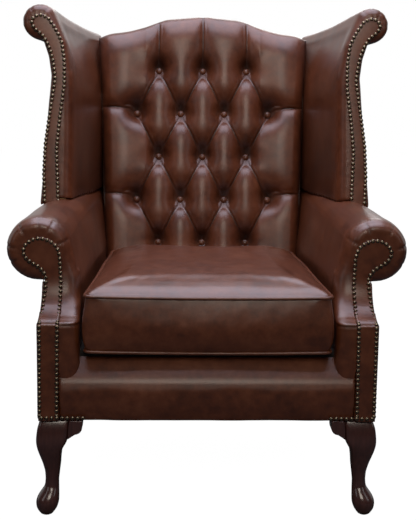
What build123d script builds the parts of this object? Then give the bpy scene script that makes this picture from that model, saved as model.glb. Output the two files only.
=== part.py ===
from build123d import *
import os
from math import atan2, copysign, cos, radians, sin

# A high-backed wing chair in buttoned leather on cabriole legs, in millimetres.
# +Z is up, the chair faces -Y, and the origin is on the floor under the middle of
# the whole chair. Left and right are the sitter's, so left is +X. The left-hand
# pieces are modelled and the right-hand ones are their mirror images.

# Seat frame
rail_bottom = 208.0
rail_height = 95.0
rail_thickness = 28.0
front_reach = 410.0
back_reach = 304.1
front_half = 350.0
rear_half = 298.0
side_skin = 6.0
front_padding = 22.0
corner_block_leg = 78.0
corner_block_height = 50.0

# Seat webbing, platform and front border
webbing_thickness = 2.5
webbing_width = 60.0
webbing_pitch = 112.0
webbing_start = 75.0
webbing_count = 5
webbing_lap = 12.0
platform_height = 44.5
platform_setback = 38.0
platform_tail = 45.0
border_inset = 47.0
border_swell = 4.0
border_roll_drop = 48.0
border_hem_tuck = 5.0

# Arms
arm_top = 616.0
arm_overhang_front = 73.0
arm_overhang_rear = 39.0
arm_roll_front = 69.0
arm_roll_rear = 48.0
arm_width_low = 88.0
arm_width_neck = 84.0
arm_width_low_rear = 76.0
arm_width_neck_rear = 73.0
arm_neck_z = 470.0
kink_z = 413.0
scroll_setback = 80.0
sweep_height = 87.0
sweep_steps = 8
stump_width = 34.0
stump_depth = 60.0
arm_board_width = 72.0
arm_board_thickness = 24.0
arm_board_overhang = 22.0
arm_board_drop = 71.0
board_step = 8.0
arm_slat_height = 38.0
arm_slat_thickness = 20.0
arm_block_round = 24.0
front_round = 22.0
arm_roll_start = 157.5
arm_roll_end = -90.0
arm_roll_steps = 22
corner_steps = 4

# Arm facing
facing_thickness = 5.0
facing_margin = 5.0
facing_width = 42.0
facing_neck_draw = 8.0
facing_neck_z = 499.0
facing_head_radius = 40.0
facing_head_z = 537.0
facing_head_end = -18.0
facing_head_steps = 16

# Raked back frame
recline = 8.0
face_recline = 12.0
post_width = 36.0
post_depth = 45.0
post_length = 728.0
post_shoulder = 600.0
post_top_width = 20.0
crest_rail_height = 78.0
crest_rail_thickness = 30.0
crest_padding = 20.0
tack_rail_height = 42.0
tack_rail_rise = 176.0
back_skin = 6.0

# Crest line, measured up the raked frame
crest_centre = 803.0
crest_hump = 794.0
crest_hump_half = 96.0
crest_shoulder = 776.5
crest_shoulder_half = 138.0
crest_end = 763.0
crest_end_half = 190.0
crest_corner = 750.0
crest_corner_out = 12.0

# Tufted inside back
tuft_depth = 124.1
tuft_origin_z = 470.0
tuft_height = 38.0
tuft_row_pitch = 106.0
tuft_column_pitch = 108.0
tuft_rows = 5
tuft_seam_low_in = 60.0
tuft_seam_high_in = 45.0
tuft_skirt = 70.0
button_radius = 8.0
button_height = 7.0
button_pocket = 1.5
button_round = 3.5
crest_ease = 3.0

# Wings, measured up the raked frame and forward of it
wing_front = 431.0
wing_foot = 345.0
wing_waist = 629.0
wing_waist_inner_in = 48.0
wing_waist_outer_out = 1.0
wing_foot_inner_in = 45.0
wing_foot_outer_out = 27.0
wing_roll_out = 27.0
wing_roll_v = 749.0
wing_roll_radius = 41.0
wing_roll_start = 135.0
wing_roll_end = -90.0
wing_roll_steps = 20
wing_notch_turn = -101.0
wing_rear_waist_inner_in = 72.0
wing_rear_waist_outer_out = 2.0
wing_rear_foot_inner_in = 76.0
wing_rear_foot_outer_out = 4.0
wing_rear_roll_in = 22.0
wing_rear_roll_v = 727.0
wing_rear_roll_radius = 27.0
wing_board_thickness = 22.0
wing_board_top = 690.0
wing_board_rear_top = 640.0
wing_board_setback = 14.0
wing_facing_thickness = 4.0
wing_round = 16.0
wing_bed = 18.0
wing_band_width = 27.0
wing_band_shift = 3.5
wing_band_lift = 6.0
band_head_start = 150.0
band_head_end = -80.0
band_head_steps = 12

# Loose cushion
cushion_height = 118.0
cushion_crown = 19.0
cushion_gap_front = 10.0
cushion_gap_rear = 3.0
cushion_setback = 6.0
cushion_rear_gap = 53.0
cushion_side_draw = 5.0
cushion_corner = 22.0
cushion_boxing_swell = 6.0
piping_radius = 3.5
piping_clearance = 0.6
cushion_tuck = 12.0

# Legs
leg_block = 62.0
leg_setback = 6.0
rear_leg_top = 46.0
rear_leg_foot = 30.0
rear_leg_rake = 62.0
rear_leg_inset = 22.0
leg_sides = 16
bolt_inset = 14.0
glide_radius = 9.0
glide_height = 2.0
bolt_radius = 4.0
bolt_length = 62.0
bracket_thickness = 30.0
bracket_setback = 4.0
bracket_reach = 25.0
bracket_drop = 68.0
bracket_tip = 15.0
bracket_heel = 26.0
bracket_bow = 4.0

# Panels, fit and tools
panel_lip = 8.0
cover_thickness = 1.5
cover_inset = 10.0
turned_sides = 12
dowel_radius = 5.0
dowel_length = 40.0
dowel_rise = 57.0
dowel_spread = 32.0
back_webbing_width = 50.0
back_webbing_count = 3
back_webbing_start = 84.0
back_webbing_pitch = 140.0
rest_gap = 0.3
soft_gap = 0.4
flat_limit = 0.001
overrun = 60.0

# Shares of the sizes that each form follows
throat_share = 0.3
wing_band_flare_share = 1.25
wing_band_head_share = 0.5
band_bend_x_share = 0.2
band_bend_v_share = 0.55
leg_clear_share = 1.15
front_step_shares = ((0, 1.0), (0.3, 0.45), (0.8, 0.1), (1.6, 0))
tuft_level_shares = ((1.0, 0), (0.9, 0.5), (0.72, 0.82), (0.45, 1.0))
crown_shares = ((0, 0), (0.5, 0.14), (0.85, 0.34), (1.0, 0.6))
# Part of the cushion's side draw, and of the welt's radius up and out
side_draw_shares = ((0.25, 0.75), (0.5, 1.0), (0.75, 0.75))
welt_shares = ((-0.92, 0.38), (-0.38, 0.92), (0.38, 0.92), (0.92, 0.38))
# Leg sections: height, distance in from the corner, half width, and how far from
# square to round the section is; the last six are the pad foot
leg_shares = (
    (1.0, 0.5, 0.485, 0.18),
    (0.913, 0.42, 0.515, 0.25),
    (0.858, 0.403, 0.527, 0.29),
    (0.803, 0.387, 0.5325, 0.33),
    (0.755, 0.354, 0.502, 0.39),
    (0.71, 0.319, 0.444, 0.45),
    (0.673, 0.306, 0.403, 0.5),
    (0.6, 0.327, 0.35, 0.6),
    (0.529, 0.355, 0.3065, 0.7),
    (0.44, 0.37, 0.252, 0.85),
    (0.354, 0.36, 0.226, 1.0),
    (0.282, 0.348, 0.24, 1.0),
    (0.21, 0.26, 0.335, 1.0),
    (0.173, 0.226, 0.37, 1.0),
    (0.137, 0.205, 0.386, 1.0),
    (0.101, 0.192, 0.372, 1.0),
    (0.065, 0.18, 0.335, 1.0),
    (0.034, 0.175, 0.27, 1.0),
)
foot_sole_share = 0.2
# Rear leg sections: height, share of the rake and of the taper
rear_leg_shares = ((0, 1.0, 1.0), (0.25, 0.65, 0.75), (0.5, 0.36, 0.5), (0.75, 0.16, 0.25), (1.0, 0, 0))

# Levels and planes worked out from the sizes above
rail_top = rail_bottom + rail_height
webbing_top = rail_top + webbing_thickness
platform_top = webbing_top + platform_height
cushion_bottom = platform_top + rest_gap
scroll_reach = front_reach - scroll_setback
sweep_top = kink_z + sweep_height
sweep_radius = (scroll_setback**2 + sweep_height**2) / (2 * scroll_setback)
arm_board_bottom = arm_top - arm_board_drop - arm_board_thickness
post_front = back_skin + post_depth
border_half = front_half - border_inset
arm_extreme_front = front_half + arm_overhang_front
arm_extreme_rear = rear_half + arm_overhang_rear
arm_inner_low = front_half - arm_width_low
arm_inner_neck = front_half - arm_width_neck
arm_inner_low_rear = rear_half - arm_width_low_rear
arm_inner_neck_rear = rear_half - arm_width_neck_rear
wing_waist_inner = front_half - wing_waist_inner_in
wing_waist_outer = front_half + wing_waist_outer_out
wing_foot_inner = front_half - wing_foot_inner_in
wing_foot_outer = front_half + wing_foot_outer_out
wing_roll_x = front_half + wing_roll_out
wing_rear_waist_inner = rear_half - wing_rear_waist_inner_in
wing_rear_waist_outer = rear_half + wing_rear_waist_outer_out
wing_rear_foot_inner = rear_half - wing_rear_foot_inner_in
wing_rear_foot_outer = rear_half + wing_rear_foot_outer_out
wing_rear_roll_x = rear_half - wing_rear_roll_in
crest_corner_half = rear_half + crest_corner_out
tuft_seam_low = rear_half - tuft_seam_low_in
tuft_seam_high = rear_half - tuft_seam_high_in
tuft_origin_y = back_reach - tuft_depth
cushion_front_half = arm_inner_low - cushion_gap_front
cushion_rear_half = arm_inner_low_rear - cushion_gap_rear
cushion_front_y = cushion_setback - front_reach
cushion_rear_y = tuft_origin_y - cushion_rear_gap
wing_low = wing_foot - overrun
web_front = post_front + webbing_thickness
raked = Plane(
    origin=(0, back_reach, rail_bottom),
    x_dir=(1, 0, 0),
    z_dir=(0, -cos(radians(recline)), sin(radians(recline))),
)
tuft_face = Plane(
    origin=(0, tuft_origin_y, tuft_origin_z),
    x_dir=(1, 0, 0),
    z_dir=(0, -cos(radians(face_recline)), sin(radians(face_recline))),
)


def side_line(y):
    """Half width over the outside arm panels at a depth y."""
    share = (y + front_reach) / (back_reach + front_reach)
    return front_half + (rear_half - front_half) * share


def between(y, front, rear):
    """Value at depth y of a size that runs from the scroll to the outside back."""
    share = (y + scroll_reach) / (back_reach + scroll_reach)
    return front + (rear - front) * share


def on_rake(forward, up):
    """The (y, z) of a point given forward of the outside back and up it."""
    lean = radians(recline)
    y = back_reach + up * sin(lean) - forward * cos(lean)
    z = rail_bottom + up * cos(lean) + forward * sin(lean)
    return (y, z)


def side_strip(y_front, y_rear, inset, width):
    """Corners of a strip of the plan that follows the side of the chair."""
    outer_front = side_line(y_front) - inset
    outer_rear = side_line(y_rear) - inset
    return (
        (outer_front, y_front),
        (outer_rear, y_rear),
        (outer_rear - width, y_rear),
        (outer_front - width, y_front),
    )


def arc_points(centre, radius, start, end, steps):
    """Points round an arc about a centre, between two angles in degrees."""
    turns = [radians(start + (end - start) * step / steps) for step in range(steps + 1)]
    return [(centre[0] + radius * cos(turn), centre[1] + radius * sin(turn)) for turn in turns]


def skin(sections):
    """A solid of flat faces through outlines of as many points, each on its plane."""
    rings = [[plane.from_local_coords((x, y, 0)) for x, y in outline] for plane, outline in sections]
    faces = [Face(Wire.make_polygon(ring)) for ring in (rings[0], rings[-1])]
    for low, high in zip(rings, rings[1:]):
        for number in range(len(low)):
            a, b, c, d = low[number - 1], low[number], high[number], high[number - 1]
            lift = (b - a).cross(c - a).normalized().dot(d - a)
            corners = ((a, b, c, d),) if abs(lift) < flat_limit else ((a, b, c), (a, c, d))
            faces += [Face(Wire.make_polygon(points)) for points in corners]
    return Solid(Shell(faces))


def swept_edge(setback, z_low, z_high):
    """Arm front seen from the side: upright, sweeping back in chords, then upright."""
    high_y = setback - scroll_reach
    full_turn = atan2(sweep_height, sweep_radius - scroll_setback)
    points = [(setback - front_reach, z_low)]
    for step in range(sweep_steps + 1):
        turn = full_turn * (1 - step / sweep_steps)
        points.append((high_y - sweep_radius * (1 - cos(turn)), sweep_top - sweep_radius * sin(turn)))
    return points + [(high_y, z_high)]


def arm_outline(y, inset):
    """Section of the left arm's padding at a depth y, drawn in by an inset."""
    radius = between(y, arm_roll_front, arm_roll_rear)
    centre = (between(y, arm_extreme_front, arm_extreme_rear) - radius, arm_top - radius)
    inner_low = between(y, arm_inner_low, arm_inner_low_rear) + inset
    inner_neck = between(y, arm_inner_neck, arm_inner_neck_rear) + inset
    bay = side_line(y) - side_skin - stump_width
    roll = radius - inset
    slab = [(bay, platform_top), (inner_low, platform_top), (inner_neck, arm_neck_z)]
    scroll = arc_points(centre, roll, arm_roll_start, arm_roll_end, arm_roll_steps)
    return slab + scroll + [(bay, centre[1] - roll)]


def wing_outline(forward, inset):
    """Section of the left wing at a distance forward of the outside back."""
    share = forward / wing_front

    def along(rear, front):
        return rear + (front - rear) * share

    radius = along(wing_rear_roll_radius, wing_roll_radius) - inset
    centre = (along(wing_rear_roll_x, wing_roll_x), along(wing_rear_roll_v, wing_roll_v))
    waist_inner = along(wing_rear_waist_inner, wing_waist_inner) + inset
    waist_outer = along(wing_rear_waist_outer, wing_waist_outer) - inset / 2
    foot_inner = along(wing_rear_foot_inner, wing_foot_inner) + inset
    foot_outer = along(wing_rear_foot_outer, wing_foot_outer) - inset / 2
    scroll = arc_points(centre, radius, wing_roll_start, wing_roll_end, wing_roll_steps)
    start = scroll[0]
    notch = arc_points(centre, radius, wing_roll_end, wing_notch_turn, 1)[1]
    throat = (waist_inner + (start[0] - waist_inner) * throat_share, (wing_waist + start[1]) / 2)
    hollow = (waist_outer + (notch[0] - waist_outer) * throat_share, (wing_waist + notch[1]) / 2)
    inner_side = [(foot_inner, wing_low), (waist_inner, wing_waist), throat]
    outer_side = [notch, hollow, (waist_outer, wing_waist), (foot_outer, wing_foot), (foot_outer, wing_low)]
    return inner_side + scroll + outer_side


def crest_line(drop, half_width, low):
    """The serpentine crest from above a drop, closed down to a lower line."""
    top = crest_centre - drop
    Polyline((-half_width, crest_corner - drop), (-half_width, low), (half_width, low))
    Line((half_width, low), (half_width, crest_corner - drop))
    Line((half_width, crest_corner - drop), (crest_end_half, crest_end - drop))
    shoulder_right = (crest_shoulder_half, crest_shoulder - drop)
    shoulder_left = (-crest_shoulder_half, crest_shoulder - drop)
    hump_right = (crest_hump_half, crest_hump - drop)
    hump_left = (-crest_hump_half, crest_hump - drop)
    ThreePointArc((crest_end_half, crest_end - drop), shoulder_right, hump_right)
    ThreePointArc(hump_right, (0, top), hump_left)
    ThreePointArc(hump_left, shoulder_left, (-crest_end_half, crest_end - drop))
    Line((-crest_end_half, crest_end - drop), (-half_width, crest_corner - drop))


def crest_height(x):
    """Height of the crest line up the rake at a distance x from the middle."""
    x = abs(x)
    table = (
        (0, crest_centre),
        (crest_hump_half, crest_hump),
        (crest_shoulder_half, crest_shoulder),
        (crest_end_half, crest_end),
        (crest_corner_half, crest_corner),
    )
    for (x_low, v_low), (x_high, v_high) in zip(table, table[1:]):
        if x <= x_high:
            return v_low + (v_high - v_low) * (x - x_low) / (x_high - x_low)
    return crest_corner


nodes = {}


def keep(name, builder):
    """Label a finished piece and note it for writing out."""
    builder.part.label = name
    nodes[name] = builder.part


def keep_pair(name, builder):
    """Keep a left-hand piece and its mirror image."""
    keep(name + "_left", builder)
    with BuildPart() as other:
        mirror(builder.part, about=Plane.YZ)
    keep(name + "_right", other)


# Back posts and rails of the raked back frame
post_outer = rear_half - side_skin
post_inner = post_outer - post_width

with BuildPart() as back_post:
    with BuildSketch(raked.offset(back_skin)):
        Polygon(
            (post_inner, -overrun),
            (post_outer, -overrun),
            (post_outer, post_shoulder),
            (post_inner + post_top_width, post_length),
            (post_inner, post_length),
        )
    extrude(amount=post_depth)
    split(bisect_by=Plane.XY.offset(rail_bottom), keep=Keep.TOP)

with BuildPart() as crest_rail:
    with BuildSketch(raked.offset(post_front - crest_rail_thickness)):
        with BuildLine():
            crest_line(crest_padding, post_inner, crest_corner - crest_rail_height)
        make_face()
    extrude(amount=crest_rail_thickness)
keep("crest_rail", crest_rail)

with BuildPart() as back_tack_rail:
    with BuildSketch(raked.offset(post_front - rail_thickness)):
        with Locations((0, tack_rail_rise)):
            Rectangle(2 * post_inner, tack_rail_height)
    extrude(amount=rail_thickness)
keep("back_tack_rail", back_tack_rail)

with BuildPart() as back_seat_rail:
    with BuildSketch(raked.offset(post_front - rail_thickness)):
        with Locations((0, rail_height / 2)):
            Rectangle(2 * post_inner, rail_height + 2 * overrun)
    extrude(amount=rail_thickness)
    split(bisect_by=Plane.XY.offset(rail_bottom), keep=Keep.TOP)
    split(bisect_by=Plane.XY.offset(rail_top), keep=Keep.BOTTOM)
keep("back_seat_rail", back_seat_rail)

# Seat rails; the side rails run from the front face back to the posts
rail_front_y = front_padding - front_reach
rail_back_y = rail_front_y + rail_thickness
rear_limit_y = back_reach + overrun

with BuildPart() as side_rail:
    with BuildSketch(Plane.XY.offset(rail_bottom)):
        Polygon(*side_strip(rail_front_y, rear_limit_y, side_skin, rail_thickness))
    extrude(amount=rail_height)
    split(bisect_by=raked.offset(post_front), keep=Keep.TOP)
keep_pair("seat_rail", side_rail)

front_inner = side_line(rail_front_y) - side_skin - rail_thickness
back_inner = side_line(rail_back_y) - side_skin - rail_thickness
with BuildPart() as front_seat_rail:
    with BuildSketch(Plane.XY.offset(rail_bottom)):
        Polygon(
            (-front_inner, rail_front_y),
            (front_inner, rail_front_y),
            (back_inner, rail_back_y),
            (-back_inner, rail_back_y),
        )
    extrude(amount=rail_height)
keep("front_seat_rail", front_seat_rail)

# Glued blocks in the four corners of the seat frame
block_rear_y = on_rake(post_front, 0)[0]
block_inset = side_skin + rail_thickness


def block_corner(y_corner, y_side):
    """Corner, side point and rail point of a triangular block."""
    corner_x = side_line(y_corner) - block_inset
    return (
        (corner_x, y_corner),
        (side_line(y_side) - block_inset, y_side),
        (corner_x - corner_block_leg, y_corner),
    )


with BuildPart() as corner_block:
    with BuildSketch(Plane.XY.offset(rail_bottom)):
        Polygon(*block_corner(rail_back_y, rail_back_y + corner_block_leg))
        Polygon(*block_corner(block_rear_y, block_rear_y - corner_block_leg))
    extrude(amount=corner_block_height)
    split(bisect_by=raked.offset(post_front), keep=Keep.TOP)
with BuildPart() as corner_blocks:
    add(corner_block.part)
    mirror(corner_block.part, about=Plane.YZ)
keep("corner_blocks", corner_blocks)

# Arm stumps, sawn to the sweep of the arm front and standing on the side rails
with BuildPart() as arm_stump:
    with BuildSketch(Plane.XY.offset(rail_top)):
        Polygon(*side_strip(-front_reach, -scroll_reach + 2 * stump_depth, side_skin, stump_width))
    extrude(amount=arm_board_bottom - rail_top)
    with BuildSketch(Plane.YZ):
        stump_back = front_padding + stump_depth
        front_edge = swept_edge(front_padding, rail_top, arm_board_bottom)
        back_edge = swept_edge(stump_back, rail_top, arm_board_bottom)
        Polygon(*front_edge, *reversed(back_edge))
    extrude(amount=front_half, mode=Mode.INTERSECT)
keep_pair("arm_stump", arm_stump)

# Arm boards lie on the stumps and carry the roll and the wing
with BuildPart() as arm_board:
    with BuildSketch(Plane.XY.offset(arm_board_bottom)):
        board_front_y = front_padding + board_step - scroll_reach
        Polygon(*side_strip(board_front_y, rear_limit_y, -arm_board_overhang, arm_board_width))
    extrude(amount=arm_board_thickness)
    split(bisect_by=raked.offset(post_front), keep=Keep.TOP)
keep_pair("arm_board", arm_board)

with BuildPart() as arm_slat:
    with BuildSketch(Plane.XY.offset(platform_top)):
        slat_inset = side_skin + stump_width - arm_slat_thickness
        Polygon(*side_strip(stump_back - front_reach, rear_limit_y, slat_inset, arm_slat_thickness))
    extrude(amount=arm_slat_height)
    split(bisect_by=raked.offset(post_front), keep=Keep.TOP)
keep_pair("arm_slat", arm_slat)

# Wing boards stand on the arm boards and meet the posts
board_middle = (wing_waist_inner + wing_waist_outer) / 2
board_ends = (
    (wing_front - wing_board_setback, board_middle + wing_board_thickness / 2, wing_board_top),
    (post_front, post_outer, wing_board_rear_top),
)
board_sections = []
for forward, outer, top in board_ends:
    inner = outer - wing_board_thickness
    board_sections.append((raked.offset(forward), ((inner, 0), (outer, 0), (outer, top), (inner, top))))
board_solid = skin(board_sections)
with BuildPart() as wing_board:
    add(board_solid)
    split(bisect_by=Plane.XY.offset(arm_board_bottom + arm_board_thickness), keep=Keep.TOP)
keep_pair("wing_board", wing_board)

# Seat webbing: strips from front to back with cross strips over them
web_rear_y = on_rake(post_front - rail_thickness, rail_height)[0]
with BuildPart() as seat_webbing:
    with BuildSketch(Plane.XY.offset(rail_top)):
        with Locations((0, (rail_front_y + web_rear_y) / 2)):
            with GridLocations(webbing_pitch, 0, webbing_count, 1):
                Rectangle(webbing_width, web_rear_y - rail_front_y)
    extrude(amount=webbing_thickness / 2)
    with BuildSketch(Plane.XY.offset(rail_top + webbing_thickness / 2)):
        for row in range(webbing_count):
            y = rail_back_y + webbing_start + row * webbing_pitch
            half = side_line(y + webbing_width / 2) - side_skin
            with Locations((0, y)):
                Rectangle(2 * half, webbing_width)
    extrude(amount=webbing_thickness / 2)
keep("seat_webbing", seat_webbing)

# Padded platform under the loose cushion
platform_front_y = platform_setback - front_reach
platform_rear_y = on_rake(web_front, tack_rail_rise)[0] - platform_tail
with BuildPart() as seat_platform:
    with BuildSketch(Plane.XY.offset(webbing_top)):
        inner = side_skin + stump_width
        front_x = side_line(platform_front_y) - inner
        rear_x = side_line(platform_rear_y) - inner
        Polygon(
            (-front_x, platform_front_y),
            (front_x, platform_front_y),
            (rear_x, platform_rear_y),
            (-rear_x, platform_rear_y),
        )
    extrude(amount=platform_height)
keep("seat_platform", seat_platform)

# Rolled front border over the front rail
border_front_y = front_padding - front_reach
roll_y = platform_front_y
roll_z = platform_top - border_roll_drop


def border_section(grow):
    """Section of the front border seen from the side."""
    radius = front_reach + roll_y + grow
    crown = roll_z + radius
    bulge = (-front_reach - border_swell - grow, (rail_bottom + roll_z) / 2)
    Polyline((roll_y, crown), (roll_y, webbing_top), (border_front_y, webbing_top))
    Polyline((border_front_y, webbing_top), (border_front_y, rail_bottom), (hem_y, rail_bottom))
    ThreePointArc((hem_y, rail_bottom), bulge, (roll_y - radius, roll_z))
    turn = radians(45)
    middle = (roll_y - radius * cos(turn), roll_z + radius * sin(turn))
    ThreePointArc((roll_y - radius, roll_z), middle, (roll_y, crown))


hem_y = border_hem_tuck - front_reach
with BuildPart() as front_border:
    with BuildSketch(Plane.YZ.offset(-border_half)):
        with BuildLine():
            border_section(0)
        make_face()
    extrude(amount=2 * border_half)
keep("front_border", front_border)
with BuildPart() as border_space:
    with BuildSketch(Plane.YZ.offset(-border_half - soft_gap)):
        with BuildLine():
            border_section(soft_gap)
        make_face()
    extrude(amount=2 * (border_half + soft_gap))

# Outside back panel between the side coverings
with BuildPart() as outside_back:
    with BuildSketch(raked):
        with BuildLine():
            crest_line(panel_lip, post_outer, -overrun)
        make_face()
    extrude(amount=back_skin)
    split(bisect_by=Plane.XY.offset(rail_bottom), keep=Keep.TOP)
keep("outside_back", outside_back)

# Outside arm panels, from the rail up to the underside of the roll
panel_front_y = facing_thickness - front_reach
with BuildPart() as outside_arm:
    with BuildSketch(Plane.XY.offset(rail_bottom)):
        Polygon(*side_strip(-front_reach, rear_limit_y, 0, side_skin))
    extrude(amount=arm_top - rail_bottom)
    with BuildSketch(Plane.YZ):
        front_top = arm_top - 2 * arm_roll_front - rest_gap
        rear_top = arm_top - 2 * between(rear_limit_y, arm_roll_front, arm_roll_rear) - rest_gap
        front_edge = swept_edge(facing_thickness, rail_bottom, front_top)
        Polygon(*front_edge, (rear_limit_y, rear_top), (rear_limit_y, rail_bottom))
    extrude(amount=front_half, mode=Mode.INTERSECT)
    split(bisect_by=raked, keep=Keep.TOP)
    add(back_post.part, mode=Mode.SUBTRACT)
    add(outside_back.part, mode=Mode.SUBTRACT)
keep_pair("outside_arm", outside_arm)

# The hollow bay between the posts, behind the back webbing
bay_top = crest_corner - crest_rail_height
with BuildPart() as back_bay:
    with BuildSketch(raked):
        Polygon((-post_inner, -overrun), (post_inner, -overrun), (post_inner, bay_top), (-post_inner, bay_top))
    extrude(amount=web_front)

# Back webbing, tacked across the fronts of the posts
with BuildPart() as back_webbing:
    with BuildSketch(raked.offset(post_front)):
        for row in range(back_webbing_count):
            rise = tack_rail_rise + back_webbing_start + row * back_webbing_pitch
            with Locations((0, rise)):
                Rectangle(2 * (post_inner + webbing_lap), back_webbing_width)
    extrude(amount=webbing_thickness)
keep("back_webbing", back_webbing)

# Arm facings, nailed over the front from the rail to the middle of the scroll
scroll_y = facing_thickness - scroll_reach
with BuildPart() as arm_facing:
    with BuildSketch(Plane.XZ.offset(-scroll_y)):
        outer_low = side_line(-front_reach) - facing_margin
        inner_edge = outer_low - facing_width
        outer_neck = outer_low - facing_neck_draw
        head_x = inner_edge + facing_head_radius
        head_centre = (head_x, facing_head_z)
        head = arc_points(head_centre, facing_head_radius, 180, facing_head_end, facing_head_steps)
        foot = [(outer_neck, facing_neck_z), (outer_low, kink_z), (outer_low, rail_bottom), (inner_edge, rail_bottom)]
        Polygon(*head, *foot)
    extrude(amount=scroll_setback + facing_thickness)
    with BuildSketch(Plane.YZ):
        face_edge = swept_edge(0, rail_bottom, arm_top)
        Polygon(*face_edge, *reversed(swept_edge(facing_thickness, rail_bottom, arm_top)))
    extrude(amount=front_half + overrun, mode=Mode.INTERSECT)
keep_pair("arm_facing", arm_facing)


# Arm padding: inner slab and roll, swept front block, and the apron below it
def arm_roll(grow):
    """The roll and inner slab of the left arm, its front edge rounded over."""
    sections = []
    for step, draw in front_step_shares:
        y = scroll_y + front_round * step
        sections.append((Plane.XZ.offset(-y), arm_outline(y, front_round * draw - grow)))
    sections.append((Plane.XZ.offset(-rear_limit_y), arm_outline(rear_limit_y, -grow)))
    solid = skin(sections)
    with BuildPart() as roll:
        add(solid)
        split(bisect_by=raked, keep=Keep.TOP)
    return roll


def block_outline(y_front, y_rear, x_inner, rounding):
    """Plan of the arm's front block with its inner front corner rounded."""
    outer_front = side_line(y_front) - side_skin
    outer_rear = side_line(y_rear) - side_skin
    corner = arc_points((x_inner + rounding, y_front + rounding), rounding, 180, 270, corner_steps)
    return corner + [(outer_front, y_front), (outer_rear, y_rear), (x_inner, y_rear)]


roll_solid = arm_roll(0)
arm_space = arm_roll(soft_gap)
block_back_y = 2 * front_round - scroll_reach
block_sections = []
for y, z in swept_edge(facing_thickness, webbing_top, sweep_top)[:-1]:
    share = max(0, z - kink_z) / sweep_height
    inner = arm_inner_low + (arm_inner_neck - arm_inner_low) * share
    block_sections.append((Plane.XY.offset(z), block_outline(y, block_back_y, inner, arm_block_round)))
block_solid = skin(block_sections)
with BuildPart() as arm_pad:
    add(block_solid)
    with BuildSketch(Plane.XY.offset(rail_bottom)):
        Polygon(
            (border_half + soft_gap, panel_front_y),
            (side_line(panel_front_y) - side_skin, panel_front_y),
            (side_line(rail_front_y) - side_skin, rail_front_y),
            (border_half + soft_gap, rail_front_y),
        )
    extrude(amount=webbing_top - rail_bottom)
    with BuildSketch(Plane.XY.offset(webbing_top)):
        Polygon(
            (0, platform_front_y),
            (front_half, platform_front_y),
            (front_half, 0),
            (0, 0),
        )
    extrude(amount=platform_height, mode=Mode.SUBTRACT)
    add(border_space.part, mode=Mode.SUBTRACT)
    add(roll_solid.part)
    frame_pieces = (arm_stump, arm_board, arm_slat, wing_board, back_post, back_tack_rail, side_rail)
    for piece in frame_pieces + (back_bay, back_webbing, outside_back, outside_arm, arm_facing):
        add(piece.part, mode=Mode.SUBTRACT)
keep_pair("arm_pad", arm_pad)


# Wings: padding over the board, rolled outwards along the top
def wing_roll(grow):
    """The padded left wing, its front edge rounded over."""
    sections = []
    for step, draw in front_step_shares:
        forward = wing_front - wing_facing_thickness - wing_round * step
        sections.append((raked.offset(forward), wing_outline(forward, wing_round * draw - grow)))
    sections.append((raked, wing_outline(0, -grow)))
    solid = skin(sections)
    with BuildPart() as wing:
        add(solid)
    return wing


wing_solid = wing_roll(0)
wing_space = wing_roll(soft_gap)
with BuildPart() as wing_pad:
    add(wing_solid.part)
    split(bisect_by=Plane.XY.offset(arm_top - wing_bed), keep=Keep.TOP)
    add(arm_space.part, mode=Mode.SUBTRACT)
    for piece in (wing_board, back_post, crest_rail, back_bay, back_webbing, outside_back, outside_arm):
        add(piece.part, mode=Mode.SUBTRACT)
keep_pair("wing_pad", wing_pad)

with BuildPart() as wing_facing:
    with BuildSketch(raked.offset(wing_front - wing_facing_thickness)):
        rise = arm_top - rail_bottom - wing_front * sin(radians(recline))
        band_foot = rise / cos(radians(recline)) + wing_band_lift
        band_head = wing_roll_radius * wing_band_head_share
        head_centre = (wing_roll_x, wing_roll_v)
        head = arc_points(head_centre, band_head, band_head_start, band_head_end, band_head_steps)
        waist_middle = (wing_waist_inner + wing_waist_outer) / 2 + wing_band_shift
        foot_middle = (wing_foot_inner + wing_foot_outer) / 2 + wing_band_shift
        half = wing_band_width / 2
        bend_v = wing_waist + (wing_roll_v - wing_waist) * band_bend_v_share
        bend_out = waist_middle + half + (head[-1][0] - waist_middle - half) * band_bend_x_share
        bend_in = waist_middle - half + (head[0][0] - waist_middle + half) * band_bend_x_share
        Polygon(
            *head,
            (bend_out, bend_v - band_head / 2),
            (waist_middle + half, wing_waist),
            (foot_middle + half * wing_band_flare_share, band_foot),
            (foot_middle - half * wing_band_flare_share, band_foot),
            (waist_middle - half, wing_waist),
            (bend_in, bend_v),
        )
    extrude(amount=wing_facing_thickness)
keep_pair("wing_facing", wing_facing)

# Inside back: a padded slab behind the tufts, covering the crest rail
tuft_rise = (tuft_origin_z - rail_bottom) * cos(radians(recline))
tuft_rise += (tuft_origin_y - back_reach) * sin(radians(recline))
crest_rake = cos(radians(face_recline - recline))


def up_face(x):
    """Height of the crest over the lowest row of buttons, along the tufted face."""
    return (crest_height(x) - tuft_rise) / crest_rake - crest_ease


def seam_x(height):
    """Half width of the tufted face at a height over the lowest buttons."""
    share = height / up_face(0)
    return tuft_seam_low + (tuft_seam_high - tuft_seam_low) * share


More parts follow.
